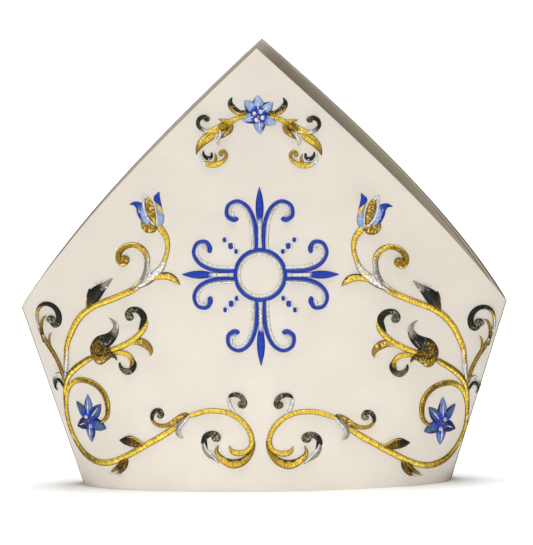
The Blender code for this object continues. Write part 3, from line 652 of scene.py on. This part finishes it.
def remap(tree, value, given, wanted):
    """A number eased from one range to another; each range is its low and high end."""
    ends = {"From Min": given[0], "From Max": given[1], "To Min": wanted[0], "To Max": wanted[1]}
    settings = {"interpolation_type": "SMOOTHSTEP"}
    return add(tree, "ShaderNodeMapRange", settings, {"Value": value, **ends}).outputs[0]


def noise_value(tree, place, scale, detail):
    """A cloudy pattern's value at a place."""
    inputs = {"Vector": place, "Scale": scale, "Detail": detail}
    return add(tree, "ShaderNodeTexNoise", (), inputs).outputs["Fac"]


def wave_value(tree, place, direction, scale, distortion):
    """The value of bands across a direction, as warp or weft lie."""
    inputs = {"Vector": place, "Scale": scale, "Distortion": distortion, "Detail": 1.0}
    return add(tree, "ShaderNodeTexWave", {"bands_direction": direction}, inputs).outputs["Fac"]


def stored(tree, name):
    """A value that the piece carries at each of its points."""
    return add(tree, "ShaderNodeAttribute", {"attribute_name": name})


def own_place(tree):
    """Where a point lies on the object itself."""
    return add(tree, "ShaderNodeTexCoord").outputs["Object"]


def plain_colour(tree, colour):
    base = add(tree, "ShaderNodeRGB")
    base.outputs[0].default_value = (*colour, 1)
    return base.outputs[0]


def shade(tree, shader, colour, amount):
    """Gives the shader a colour made lighter or darker by a number."""
    shaded = add(tree, "ShaderNodeVectorMath", {"operation": "SCALE"}, {0: colour, "Scale": amount})
    tree.links.new(shaded.outputs[0], shader.inputs["Base Color"])


def relieve(tree, shader, height, strength, distance):
    """Gives the shader a fine relief."""
    bump = add(tree, "ShaderNodeBump", (), {"Height": height, "Strength": strength, "Distance": distance})
    tree.links.new(bump.outputs[0], shader.inputs["Normal"])


def new_material(name, **values):
    """A material with its Principled shader, and numbers set on that shader's own sockets."""
    mat = bpy.data.materials.new(name)
    mat.use_nodes = True
    shader = mat.node_tree.nodes["Principled BSDF"]
    for key, value in values.items():
        shader.inputs[key.replace("_", " ").title().replace("Ior", "IOR")].default_value = value
    return mat, mat.node_tree, shader


def satin(name, colour, weave, streak, sheen):
    """Woven satin: warp and weft in relief, slubs along the weft and a slow change of tone."""
    mat, tree, shader = new_material(name, roughness=0.55, sheen_weight=sheen, sheen_roughness=0.4,
                                     specular_ior_level=0.35)
    place = stored(tree, "cloth_place").outputs["Vector"]
    bands = WAVE_BAND / weave
    warp = wave_value(tree, place, "X", scale=bands, distortion=0.6)
    weft = wave_value(tree, place, "Y", scale=bands * 1.1, distortion=0.8)
    along = add(tree, "ShaderNodeMapping", (), {"Vector": place, "Scale": (55, 900, 1)})
    slubs = noise_value(tree, along.outputs[0], scale=1.0, detail=3.0)
    slow = noise_value(tree, place, scale=26.0, detail=2.0)
    weaving = maths(tree, "MULTIPLY", warp, weft)
    tone = maths(tree, "ADD", remap(tree, slow, (0.3, 0.7), (0.965, 1.02)),
                 remap(tree, slubs, (0.3, 0.7), (-streak, streak)))
    tone = maths(tree, "ADD", tone, remap(tree, weaving, (0, 1), (-0.03, 0.02)))
    shade(tree, shader, plain_colour(tree, colour), tone)
    relief = maths(tree, "ADD", weaving, maths(tree, "MULTIPLY", slubs, 0.7))
    relieve(tree, shader, relief, strength=0.35, distance=0.00012)
    return mat


def thread(name, pitch, slant, roughness, outline, fleck, sheen=0.0):
    """Satin stitch: threads laid across the stroke, each with its own tone, darker towards the stroke's
    edges: partly a dark outline, partly painted shade where the stitches meet the cloth.
    """
    mat, tree, shader = new_material(name, sheen_weight=sheen, sheen_roughness=0.35, specular_ior_level=0.22)
    colour = stored(tree, "thread_colour")
    parts = add(tree, "ShaderNodeSeparateXYZ", (), {0: stored(tree, "thread_place").outputs["Vector"]})
    run, across, seed = parts.outputs
    leaning = maths(tree, "ADD", run, maths(tree, "MULTIPLY", across, slant))
    number = maths(tree, "DIVIDE", leaning, pitch)
    which = add(tree, "ShaderNodeCombineXYZ", (), {0: maths(tree, "FLOOR", number), 1: seed})
    chance = add(tree, "ShaderNodeTexWhiteNoise", {"noise_dimensions": "2D"}, {"Vector": which.outputs[0]})
    chance = chance.outputs["Value"]
    # Painted glints: a cloudy pattern along the stroke lightens and darkens the threads by up to fleck,
    # besides each thread's own tone; it also drives the relief and the ragged edge
    patch = add(tree, "ShaderNodeCombineXYZ", (), {0: maths(tree, "MULTIPLY", run, 900.0),
                1: maths(tree, "MULTIPLY", across, 1.7), 2: seed})
    glint = noise_value(tree, patch.outputs[0], scale=1.0, detail=2.0)
    tone = maths(tree, "MULTIPLY", remap(tree, chance, (0, 1), (0.86, 1.1)),
                 remap(tree, glint, (0.36, 0.64), (1 - fleck, 1 + fleck)))
    # Painted shade: colour and metal are darkened towards the stroke's edges down to outline, partly a dark
    # outline thread and partly the shade where the stitches meet the cloth
    ragged = maths(tree, "MULTIPLY", maths(tree, "SUBTRACT", glint, 0.5), 0.2)
    to_edge = maths(tree, "ADD", maths(tree, "ABSOLUTE", across), ragged)
    under = remap(tree, to_edge, (0.58, 0.95), (1.0, outline))
    shade(tree, shader, colour.outputs["Color"], maths(tree, "MULTIPLY", tone, under))
    tree.links.new(maths(tree, "MULTIPLY", colour.outputs["Alpha"], under), shader.inputs["Metallic"])
    dull = remap(tree, chance, (0, 1), (roughness - 0.08, roughness + 0.12))
    tree.links.new(dull, shader.inputs["Roughness"])
    round_thread = maths(tree, "ABSOLUTE", maths(tree, "SINE", maths(tree, "MULTIPLY", number, math.pi)))
    relieve(tree, shader, maths(tree, "ADD", round_thread, glint), strength=0.45, distance=0.0002)
    return mat


def stone_glass(name):
    """Small cut stones, each in its own tint with faint clouding."""
    mat, tree, shader = new_material(name, roughness=0.3, ior=1.5, specular_ior_level=0.25)
    cloud = noise_value(tree, own_place(tree), scale=900.0, detail=1.0)
    tint = stored(tree, "stone_tint").outputs["Color"]
    shade(tree, shader, tint, remap(tree, cloud, (0.4, 0.6), (0.5, 1.0)))
    return mat


def setting_silver(name):
    """The stones' silver rings, dulled in patches."""
    mat, tree, shader = new_material(name, metallic=0.7)
    patches = noise_value(tree, own_place(tree), scale=1400.0, detail=2.0)
    grey = plain_colour(tree, (0.24, 0.24, 0.26))
    shade(tree, shader, grey, remap(tree, patches, (0.35, 0.65), (0.5, 1.3)))
    tree.links.new(remap(tree, patches, (0.3, 0.7), (0.45, 0.25)), shader.inputs["Roughness"])
    return mat


# Modelling by hand

def deselect():
    if bpy.context.mode != "OBJECT":
        bpy.ops.object.mode_set(mode="OBJECT")
    bpy.ops.object.select_all(action="DESELECT")


def pick(objects):
    """Selects these objects and nothing else."""
    deselect()
    for obj in objects:
        obj.select_set(True)
    bpy.context.view_layer.objects.active = objects[0]


def apply_modifier(obj, kind, **settings):
    modifier = obj.modifiers.new(kind.lower(), kind)
    for name, value in settings.items():
        setattr(modifier, name, value)
    pick([obj])
    bpy.ops.object.modifier_apply(modifier=modifier.name)


def face_outwards(obj):
    pick([obj])
    bpy.ops.object.mode_set(mode="EDIT")
    bpy.ops.mesh.select_all(action="SELECT")
    bpy.ops.mesh.normals_make_consistent(inside=False)
    bpy.ops.object.mode_set(mode="OBJECT")


def smooth(obj, angle):
    pick([obj])
    bpy.ops.object.shade_smooth_by_angle(angle=angle)


def edit_only(obj, kind, chosen):
    """Goes into edit mode with the edges or faces selected for which the test holds."""
    pick([obj])
    bpy.ops.object.mode_set(mode="EDIT")
    bpy.ops.mesh.select_mode(type=kind)
    bpy.ops.mesh.select_all(action="DESELECT")
    bpy.ops.object.mode_set(mode="OBJECT")
    for item in obj.data.edges if kind == "EDGE" else obj.data.polygons:
        item.select = bool(chosen(item))
    bpy.ops.object.mode_set(mode="EDIT")


def join(name, objects, mat):
    """Several objects as one piece, with its place in its mesh."""
    pick(objects)
    if len(objects) > 1:
        bpy.ops.object.join()
    obj = bpy.context.object
    bpy.ops.object.transform_apply(location=True, rotation=True, scale=True)
    obj.name = name
    obj.data.name = name
    obj.data.materials.clear()
    obj.data.materials.append(mat)
    return obj


def grid_sheet(columns, rows):
    """A flat grid from -1 to 1, and the places of its points."""
    deselect()
    bpy.ops.mesh.primitive_grid_add(x_subdivisions=columns, y_subdivisions=rows, size=2)
    obj = bpy.context.object
    return obj, points_of(obj)


def points_of(obj):
    flat = np.empty(len(obj.data.vertices) * 3, np.float32)
    obj.data.vertices.foreach_get("co", flat)
    return flat.reshape(-1, 3).astype(float)


def set_points(obj, points):
    obj.data.vertices.foreach_set("co", points.astype(np.float32).ravel())
    obj.data.update()


def note(obj, name, kind, field, values):
    """Stores a value at each point of a mesh for its material."""
    layer = obj.data.attributes.new(name, kind, "POINT")
    layer.data.foreach_set(field, values.astype(np.float32).ravel())


def note_place(obj, name, *columns):
    """Stores a place at each point of a mesh, for the pattern of its threads."""
    note(obj, name, "FLOAT_VECTOR", "vector", np.stack(columns, axis=1))


def cloth(name, grid, roll, place, mat):
    """A sheet of cloth: a grid given two faces, bent to shape, and its edges rolled over."""
    obj, _ = grid_sheet(*grid)
    apply_modifier(obj, "SOLIDIFY", thickness=GRID_SHELL, offset=-1)
    flat = points_of(obj)
    points, threads = place(flat[:, 0], flat[:, 1], flat[:, 2] < -GRID_SHELL / 2)
    set_points(obj, points)
    note_place(obj, "cloth_place", *threads, np.zeros(len(flat)))
    face_outwards(obj)
    apply_modifier(obj, "BEVEL", width=roll, segments=ROLL_STEPS, limit_method="ANGLE",
                   angle_limit=ROLL_ANGLE, use_clamp_overlap=True)
    smooth(obj, CLOTH_ANGLE)
    return join(name, [obj], mat)


def arc_length(angle, z):
    """The length of cloth from the panel's middle to an angle, at a height."""
    steps = np.linspace(0, 1, ARC_STEPS)[:, None]
    across, depth = section(angle * steps, z[None, :], 0)
    return np.hypot(np.diff(across, axis=0), np.diff(depth, axis=0)).sum(axis=0) * np.sign(angle)


def panel(name, side, mat):
    """One of the two shield-shaped panels; side is -1 for the front and 1 for the back."""
    def place(u, v, inner):
        angle = u * math.pi / 2
        z = column_top(angle) * (v + 1) / 2
        across, depth = section(angle, z, np.where(inner, PANEL_CLOTH, 0))
        points = np.stack([across, side * (depth + ripple(-side * across, z)), z], axis=1)
        return points, (arc_length(angle, z), z)
    return cloth(name, PANEL_GRID, PANEL_ROLL, place, mat)


def gusset(name, mat):
    """The cloth between the upper edges, folded down between the peaks, with soft creases to the fold."""
    def place(u, v, under):
        angle = u * GUSSET_SPAN
        top = column_top(angle)
        across, depth = section(angle, top, PANEL_CLOTH)
        reach = depth - GAP - GUSSET_CLOTH
        lift = 1 - GUSSET_LIFT * (across / CORNER_HALF_WIDTH) ** GUSSET_LIFT_POWER
        fold = (top - CORNER_HEIGHT) * GUSSET_FOLD * lift
        low = 1 - np.abs(v) ** GUSSET_ROUNDING
        turn, bends = CREASE_WANDER
        crease = CREASE_HEIGHT * np.sin(CREASES * u + turn * np.sin(bends * u)) * low * (1 - u * u)
        y = v * reach
        z = top - fold * low + crease
        slope = fold * GUSSET_ROUNDING * np.abs(v) ** (GUSSET_ROUNDING - 1) / reach
        down = unit(np.stack([np.zeros_like(v), np.copysign(slope, v), -np.ones_like(v)], axis=1))
        points = np.stack([across, y, z], axis=1) + np.where(under, GUSSET_CLOTH, 0)[:, None] * down
        return points, (u * GUSSET_WEAVE_SPAN, np.sign(v) * (fold * (1 - low) + np.abs(y)))
    return cloth(name, GUSSET_GRID, GUSSET_ROLL, place, mat)


def smooth_line(points, closed=False):
    """Fine even steps along a smooth curve through the points: across, up and breadth in metres."""
    stops = np.array([(*grid_point(x, y), w * STROKE_FILL * SQUARE) for x, y, w in points])
    if closed:
        stops = np.vstack([stops[-1], stops, stops[:2]])
    else:
        stops = np.vstack([2 * stops[0] - stops[1], stops, 2 * stops[-1] - stops[-2]])
    line = []
    for before, a, b, after in zip(stops, stops[1:], stops[2:], stops[3:]):
        steps = max(2, round(float(np.hypot(*(b - a)[:2])) / STITCH_STEP))
        t = np.arange(steps)[:, None] / steps
        line.append(0.5 * (2 * a + (b - before) * t + (2 * before - 5 * a + 4 * b - after) * t ** 2
                           + (3 * a - before - 3 * b + after) * t ** 3))
    line.append(stops[-2][None, :])
    return np.vstack(line)


def rounded_ends(run, half):
    """How full a stroke is along its run, as a share: its ends are drawn in to a round."""
    left = np.minimum(run, run[-1] - run)
    near = np.clip(left / np.maximum(half, STITCH_STEP), 0, 1)
    return np.sqrt(np.maximum(1 - (1 - near) ** 2, END_SHARE))


def thread_colours(changes, share, speckle):
    """The colours of threads at shares of a stroke's length, with another mixed in at high speckle."""
    if isinstance(changes, str):
        changes = ((0, changes),)
    stops = np.array([stop for stop, _ in changes])
    main = np.array([THREAD[name] for _, name in changes])
    other = np.array([THREAD[MIXED.get(name, (name, 1))[0]] for _, name in changes])
    rare = np.array([MIXED.get(name, (name, 1))[1] for _, name in changes])
    shows = speckle > np.interp(share, stops, rare)
    channels = []
    for own, mixed in zip(main.T, other.T):
        channels.append(np.where(shows, np.interp(share, stops, mixed), np.interp(share, stops, own)))
    return np.stack(channels, axis=1)


def dyed(run, v, length, seed, changes, edge):
    """The threads' colours over a stroke: ragged where they change, and another colour along one edge, partly
    another thread and partly painted light and shade on that side.
    """
    shift = np.array([noise.noise((a / RAGGED_ALONG, b * RAGGED_ACROSS, seed)) for a, b in zip(run, v)])
    speckle = np.array([noise.noise((a / SPECKLE_SIZE, b * SPECKLE_ACROSS, seed + SPECKLE_SEED))
                        for a, b in zip(run, v)])
    share = (run + min(RAGGED, RAGGED_SHARE * length) * shift) / length
    colours = thread_colours(changes, share, speckle)
    if edge:
        side, start, edge_changes = edge
        beyond = v * side > start + RAGGED_EDGE * shift
        colours[beyond] = thread_colours(edge_changes, share, speckle)[beyond]
    return colours


def stitched(points, changes, lift=0.0, rise=STITCH_RISE, beside=0.0, share=1.0, closed=False, edge=None):
    """One raised stroke: a strip domed over its padding cord, laid along a line on the front cloth."""
    line = smooth_line(points, closed)
    places = face(line[:, 0], line[:, 1])
    out = facing(line[:, 0], line[:, 1])
    side = np.cross(out, unit(np.gradient(places, axis=0)))
    run = run_along(places)
    breadth = np.maximum(line[:, 2], STITCH_THINNEST)
    half = breadth * share / 2
    if not closed:
        half = half * rounded_ends(run, half)
    obj, flat = grid_sheet(len(line) - 1, STITCH_PROFILE)
    index = np.rint((flat[:, 0] + 1) / 2 * (len(line) - 1)).astype(int)
    v = flat[:, 1]
    here = run[index]
    ridge = 1 + RIDGE_SHARE * np.sin(math.tau * (here / RIDGE_PITCH + RIDGE_SLANT * v))
    dome = np.maximum(1 - v * v, 0) ** STITCH_ROUND
    height = np.minimum(rise, half[index] * STITCH_STEEPNESS) * dome * ridge
    centre = places + side * (beside * breadth)[:, None]
    set_points(obj, centre[index] + side[index] * (half[index] * v)[:, None]
               + out[index] * (height + lift - STITCH_SUNK)[:, None])
    seed = points[0][0] * SEED_SHARE + points[-1][1]
    note(obj, "thread_colour", "FLOAT_COLOR", "color", dyed(here, v, run[-1], seed, changes, edge))
    note_place(obj, "thread_place", here, v, np.full_like(v, seed))
    return obj


def right_half(points):
    """A stroke of the left half as it lies on the right, where the work is a little wider and lower."""
    line = []
    for x, y, w in points:
        wider = RIGHT_WIDER * (min(-x, WIDER_TO) - WIDER_FROM)
        line.append((wider - x, y + RIGHT_LOWER * x, w))
    return tuple(line)


def hand_over(piece, slot, *nodes):
    """Gives the frame a finished piece and hides the nodes that it stands for; slot is not used."""
    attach(piece, "root")
    if nodes:
        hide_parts(*nodes)


def embroidered(name, strips, mat, slot, *nodes):
    """Strips of stitches as one piece."""
    obj = join(name, strips, mat)
    apply_modifier(obj, "SOLIDIFY", thickness=STITCH_SHELL, offset=-1)
    smooth(obj, STITCH_ANGLE)
    hand_over(obj, slot, *nodes)


def motif(node, table, accents, mat, slot):
    """The strokes of one motif with the thin accents on top, on the left and mirrored on the right."""
    for half, turned, side in (("left", tuple, 1), ("right", right_half, -1)):
        strips = []
        for i, (name, points) in enumerate(table.items()):
            edge = EDGES.get(name)
            if edge:
                edge = (edge[0] * side, *edge[1:])
            strips.append(stitched(turned(points), CHANGES[name], OVERLAP * (i % OVERLAPS), edge=edge))
        for x, y, size, thread_name in BALLS[node]:
            ball = ((x - size / 2, y, size), (x, y, size), (x + size / 2, y, size))
            strips.append(stitched(turned(ball), thread_name, BALL_LIFT))
        for name, points in accents.items():
            strips.append(stitched(turned(points), CHANGES[name], ACCENT_LIFT, ACCENT_RISE))
        embroidered(f"{node}_{half}_stitches", strips, mat, slot, f"{node}_{half}")


def petals(across, up, table):
    """Six pointed petals, each dark at its base, and the silver vein in each."""
    strips = []
    for i, (turn, length, breadth, tip) in enumerate(table):
        dx, dy = heading(turn)
        line = tuple((across + dx * length * t, up + dy * length * t, breadth * w) for t, w in PETAL_SHAPE)
        base = ((PETAL_BASE[0], "deep" if tip == "deep" else "royal"), (PETAL_BASE[1], tip))
        # Painted shade: one side of each petal turns deep blue, partly a dark outline and partly the shade
        # between the petals
        dark_side = (1, PETAL_SIDE_FROM, ((PETAL_SIDE[0], "deep"), (PETAL_SIDE[1], tip)))
        strips.append(stitched(line, base, PETAL_OVERLAP * (i % PETAL_OVERLAPS), PETAL_RISE, edge=dark_side))
        vein = tuple((across + dx * length * t, up + dy * length * t, w) for t, w in PETAL_VEIN)
        strips.append(stitched(vein, "silver", VEIN_LIFT, VEIN_RISE, share=VEIN_SHARE))
    return strips


def cord_pair(points, mirror=1, closed=False):
    """A blue cord with a silver one beside it."""
    return [stitched(points, "silver", 0, STITCH_RISE, -CORD_APART * mirror, SILVER_SHARE, closed),
            stitched(points, "royal", BLUE_LIFT, STITCH_RISE, CORD_APART * mirror, BLUE_SHARE, closed)]


def around_cross(turn, aside, far):
    """A place on the grid, at a turn and so far from the cross's middle, and aside from that line."""
    dx, dy = heading(turn)
    return dy * aside + dx * far, CROSS_HEIGHT - dx * aside + dy * far


def cross():
    """A cross of paired cords: a ring, and four arms that part into curls round a bud, with dots between."""
    strips = []
    for turn, scale in CROSS_ARMS:
        for mirror in (1, -1):
            arm = tuple((*around_cross(turn, u * mirror, CROSS_RING + v * scale), w)
                        for u, v, w in CROSS_CURL)
            strips += cord_pair(arm, mirror)
        bud = tuple((*around_cross(turn, u, CROSS_RING + v * scale), w) for u, v, w in CROSS_BUD)
        strips.append(stitched(bud, CHANGES["bud_of_cross"], BUD_LIFT))
        for far, size in DOT_ROWS:
            x, y = around_cross(turn + 45, 0, far)
            silver = tuple((x + a, y + b * size, w * size) for a, b, w in DOT_SILVER)
            dot = tuple((x + a, y + b * size, w * size) for a, b, w in DOT_SHAPE)
            strips.append(stitched(silver, "silver", 0, DOT_SILVER_RISE))
            strips.append(stitched(dot, "royal", DOT_LIFT, DOT_RISE))
    turns = [360 * i / RING_STOPS for i in reversed(range(RING_STOPS))]
    ring = tuple((*around_cross(turn, 0, CROSS_RING), CROSS_CORD) for turn in turns)
    return strips + cord_pair(ring, closed=True)


def stone_model():
    """A round cut stone of radius 1: a low drum whose top is drawn in to a table."""
    deselect()
    bpy.ops.mesh.primitive_cylinder_add(vertices=STONE_SIDES, radius=1, depth=STONE_DRUM,
                                        location=(0, 0, STONE_DRUM / 2))
    obj = bpy.context.object
    edit_only(obj, "FACE", lambda polygon: polygon.normal.z > FACES_UP)
    bpy.ops.mesh.extrude_region_move(TRANSFORM_OT_translate={"value": (0, 0, STONE_CROWN)})
    bpy.ops.transform.resize(value=(STONE_TABLE, STONE_TABLE, 1),
                             center_override=(0, 0, STONE_DRUM + STONE_CROWN))
    bpy.ops.object.mode_set(mode="OBJECT")
    return obj


def setting_model():
    """The silver ring that holds a stone."""
    deselect()
    bpy.ops.mesh.primitive_torus_add(major_radius=RING_RADIUS, minor_radius=RING_WIRE, major_segments=18,
                                     minor_segments=6, location=(0, 0, RING_HEIGHT))
    return bpy.context.object


def copies(model, places):
    """Copies of a model, each at its place on the front cloth, at its size in metres and in its tint."""
    made = []
    for x, y, size, tint in places:
        spot = [np.array(value) for value in grid_point(x, y)]
        out = Vector(facing(*spot))
        middle = Vector(face(*spot)) + out * STONE_LIFT
        obj = model.copy()
        obj.data = model.data.copy()
        bpy.context.scene.collection.objects.link(obj)
        turn = out.to_track_quat("Z", "Y").to_matrix().to_4x4()
        obj.matrix_world = Matrix.Translation(middle) @ turn @ Matrix.Scale(size, 4)
        tints = np.tile((*TINTS[tint], 1), (len(obj.data.vertices), 1))
        note(obj, "stone_tint", "FLOAT_COLOR", "color", tints)
        made.append(obj)
    bpy.data.objects.remove(model)
    return made


def edge_cord(name, path, radius, mat):
    """A cord or binding sewn along an edge: a rod cut across into steps, which are laid along the path."""
    along = unit(np.gradient(path, axis=0))
    forward = unit(np.cross(along, np.cross((0, 1, 0), along)))
    beside = np.cross(along, forward)
    deselect()
    bpy.ops.mesh.primitive_cylinder_add(vertices=CORD_SIDES, radius=1, depth=2)
    obj = bpy.context.object
    for cuts in CORD_CUTS:
        height = points_of(obj)[:, 2]
        edit_only(obj, "EDGE", lambda edge: abs(height[edge.vertices[0]] - height[edge.vertices[1]]) > TINY)
        bpy.ops.mesh.subdivide(number_cuts=cuts)
        bpy.ops.object.mode_set(mode="OBJECT")
    points = points_of(obj)
    index = np.rint((points[:, 2] + 1) / 2 * (len(path) - 1)).astype(int)
    around = beside[index] * points[:, :1] + forward[index] * points[:, 1:2]
    set_points(obj, path[index] + around * radius)
    turn = np.arctan2(points[:, 1], points[:, 0]) * radius
    note_place(obj, "cloth_place", run_along(path)[index], turn, np.zeros_like(turn))
    face_outwards(obj)
    smooth(obj, CORD_ANGLE)
    return join(name, [obj], mat)


def back_edge_path(inset, lift):
    """A path along the back panel's upper edge, from corner to corner over the peak."""
    angle = np.linspace(-math.pi / 2, math.pi / 2, CORD_STEPS)
    top = column_top(angle)
    across, depth = section(angle, top, inset)
    return np.stack([across, depth, top + lift], axis=1)


# The whole mitre

cream = satin("cream_satin", (0.83, 0.77, 0.675), weave=0.0007, streak=0.012, sheen=0.25)
# The gusset's taupe is darker than the cream panels: partly a darker satin, partly painted shade for the
# inside between the peaks
taupe = satin("taupe_satin", (0.42, 0.36, 0.28), weave=0.0006, streak=0.03, sheen=0.2)
# The dark brown cord stands partly for a real cord and partly for painted shade along the turned edges
cord_brown = satin("edge_cord", (0.17, 0.13, 0.105), weave=0.0006, streak=0.03, sheen=0.1)
# Each thread's outline is how dark its edges go: a dark outline with painted shade
gold = thread("gold_thread", pitch=0.00046, slant=0.0007, roughness=0.34, outline=0.2, fleck=0.24)
silk = thread("blue_silk", pitch=0.0004, slant=0.0003, roughness=0.45, outline=0.4, fleck=0.16, sheen=0.05)
cord = thread("blue_cord", pitch=0.0005, slant=0.0009, roughness=0.4, outline=0.3, fleck=0.12, sheen=0.2)
crystal = stone_glass("crystal")
ring_silver = setting_silver("stone_setting")

front = panel("front_satin", -1, cream)
back = panel("back_satin", 1, cream)
fold = gusset("gusset_satin", taupe)
hand_over(front, "cream_satin", "front_panel")
hand_over(back, "cream_satin", "back_panel")
hand_over(fold, "taupe_satin", "gusset")

seam_z = np.linspace(CORD_END, CORNER_HEIGHT, CORD_STEPS)
left_seam = np.stack([-half_width(seam_z), np.zeros_like(seam_z), seam_z], axis=1)
right_seam = left_seam * (-1, 1, 1)
back_edge = back_edge_path(PANEL_CLOTH * CORD_INSET, CORD_LIFT)
back_fold = back_edge_path(PANEL_CLOTH / 2, -BINDING_DROP)
for name, path, radius, mat in (("left_seam_cord", left_seam, EDGE_CORD_RADIUS, cord_brown),
                                ("right_seam_cord", right_seam, EDGE_CORD_RADIUS, cord_brown),
                                ("back_edge_cord", back_edge, EDGE_CORD_RADIUS, cord_brown),
                                ("back_edge_binding", back_fold, BINDING_RADIUS, taupe)):
    hand_over(edge_cord(name, path, radius, mat), "taupe_satin")

motif("vine", VINE, VINE_ACCENTS, gold, "gold_thread")
motif("top_spray", SPRAY, SPRAY_ACCENTS, gold, "gold_thread")
motif("top_crescent", SPRAY_CRESCENT, CRESCENT_ACCENTS, gold, "gold_thread")
motif("tulip", TULIP, TULIP_ACCENTS, silk, "blue_thread")
side_across, side_up, side_petals = SIDE_FLOWER
right_across, right_up, _ = right_half(((side_across, side_up, 0),))[0]
right_petals = tuple((180 - turn, *rest) for turn, *rest in side_petals)
embroidered("top_flower_petals", petals(*TOP_FLOWER), silk, "blue_thread", "top_flower")
embroidered("flower_left_petals", petals(*SIDE_FLOWER), silk, "blue_thread", "flower_left")
embroidered("flower_right_petals", petals(right_across, right_up, right_petals), silk, "blue_thread",
            "flower_right")
embroidered("cross_cords", cross(), cord, "blue_cord", "centre_cross")

stones = []
for across, up, table, side in ((TOP_FLOWER[0], TOP_FLOWER[1], TOP_STONES, 1),
                                (side_across, side_up, SIDE_STONES, 1),
                                (right_across, right_up, SIDE_STONES, -1)):
    for x, y, size, tint in table:
        stones.append((across + x * side, up + y, size * SQUARE, tint))
hand_over(join("flower_stones", copies(stone_model(), stones), crystal), "crystal")
hand_over(join("stone_settings", copies(setting_model(), stones), ring_silver), "silver_thread")


# Floor, light and camera

def floor():
    """A wide pale floor; the long lens looks down on it, so it fills the view."""
    deselect()
    bpy.ops.mesh.primitive_plane_add(size=FLOOR_SIZE)
    obj = bpy.context.object
    mat, tree, shader = new_material("pale_floor", roughness=0.9)
    mottle = noise_value(tree, own_place(tree), scale=3.0, detail=2.0)
    white = plain_colour(tree, (0.93, 0.925, 0.915))
    shade(tree, shader, white, remap(tree, mottle, (0, 1), (0.99, 1.01)))
    join("floor", [obj], mat)


def lamp(name, place, aim, size, watts, spread=math.pi):
    light = bpy.data.lights.new(name, "AREA")
    light.shape = "RECTANGLE"
    light.size, light.size_y = size
    light.energy = watts
    light.spread = spread
    obj = bpy.data.objects.new(name, light)
    obj.location = place
    obj.rotation_euler = (Vector(aim) - Vector(place)).to_track_quat("-Z", "Y").to_euler()
    bpy.context.scene.collection.objects.link(obj)


def studio_air():
    """The faint even light from all sides."""
    world = bpy.data.worlds.new("studio")
    world.use_nodes = True
    world.node_tree.nodes["Background"].inputs["Color"].default_value = (1, 0.99, 0.97, 1)
    world.node_tree.nodes["Background"].inputs["Strength"].default_value = 0.12
    bpy.context.scene.world = world


def camera():
    """The photograph's view: a long lens from just above, turned a little to one side and rolled a degree."""
    level = math.cos(CAMERA_ELEVATION)
    right = Vector((math.cos(CAMERA_AZIMUTH), math.sin(CAMERA_AZIMUTH), 0))
    ahead = Vector((-right.y * level, right.x * level, -math.sin(CAMERA_ELEVATION)))
    up = right.cross(ahead)
    rolled_right = right * math.cos(CAMERA_ROLL) - up * math.sin(CAMERA_ROLL)
    rolled_up = right * math.sin(CAMERA_ROLL) + up * math.cos(CAMERA_ROLL)
    data = bpy.data.cameras.new("camera")
    data.lens = CAMERA_LENS
    data.sensor_width = 36
    data.shift_x, data.shift_y = CAMERA_SHIFT
    data.clip_end = 100
    obj = bpy.data.objects.new("camera", data)
    axes = Matrix((rolled_right, rolled_up, -ahead)).transposed().to_4x4()
    obj.matrix_world = Matrix.Translation(Vector(CAMERA_AIM) - ahead * CAMERA_FAR) @ axes
    bpy.context.scene.collection.objects.link(obj)
    bpy.context.scene.camera = obj


floor()
camera()
lamp("key_light", place=(-0.25, -2.4, 0.45), aim=(0, 0, 0.15), size=(0.5, 0.5), watts=21)
lamp("top_light", place=(0, -0.3, 2.6), aim=(0, -0.3, 0), size=(1.6, 1.6), watts=9.5, spread=FLOOR_BEAM)
lamp("backdrop_light", place=(0, 2.3, 2.4), aim=(0, 2.3, 0), size=(4, 4), watts=75, spread=FLOOR_BEAM)
studio_air()
bpy.context.scene.view_settings.view_transform = "Standard"
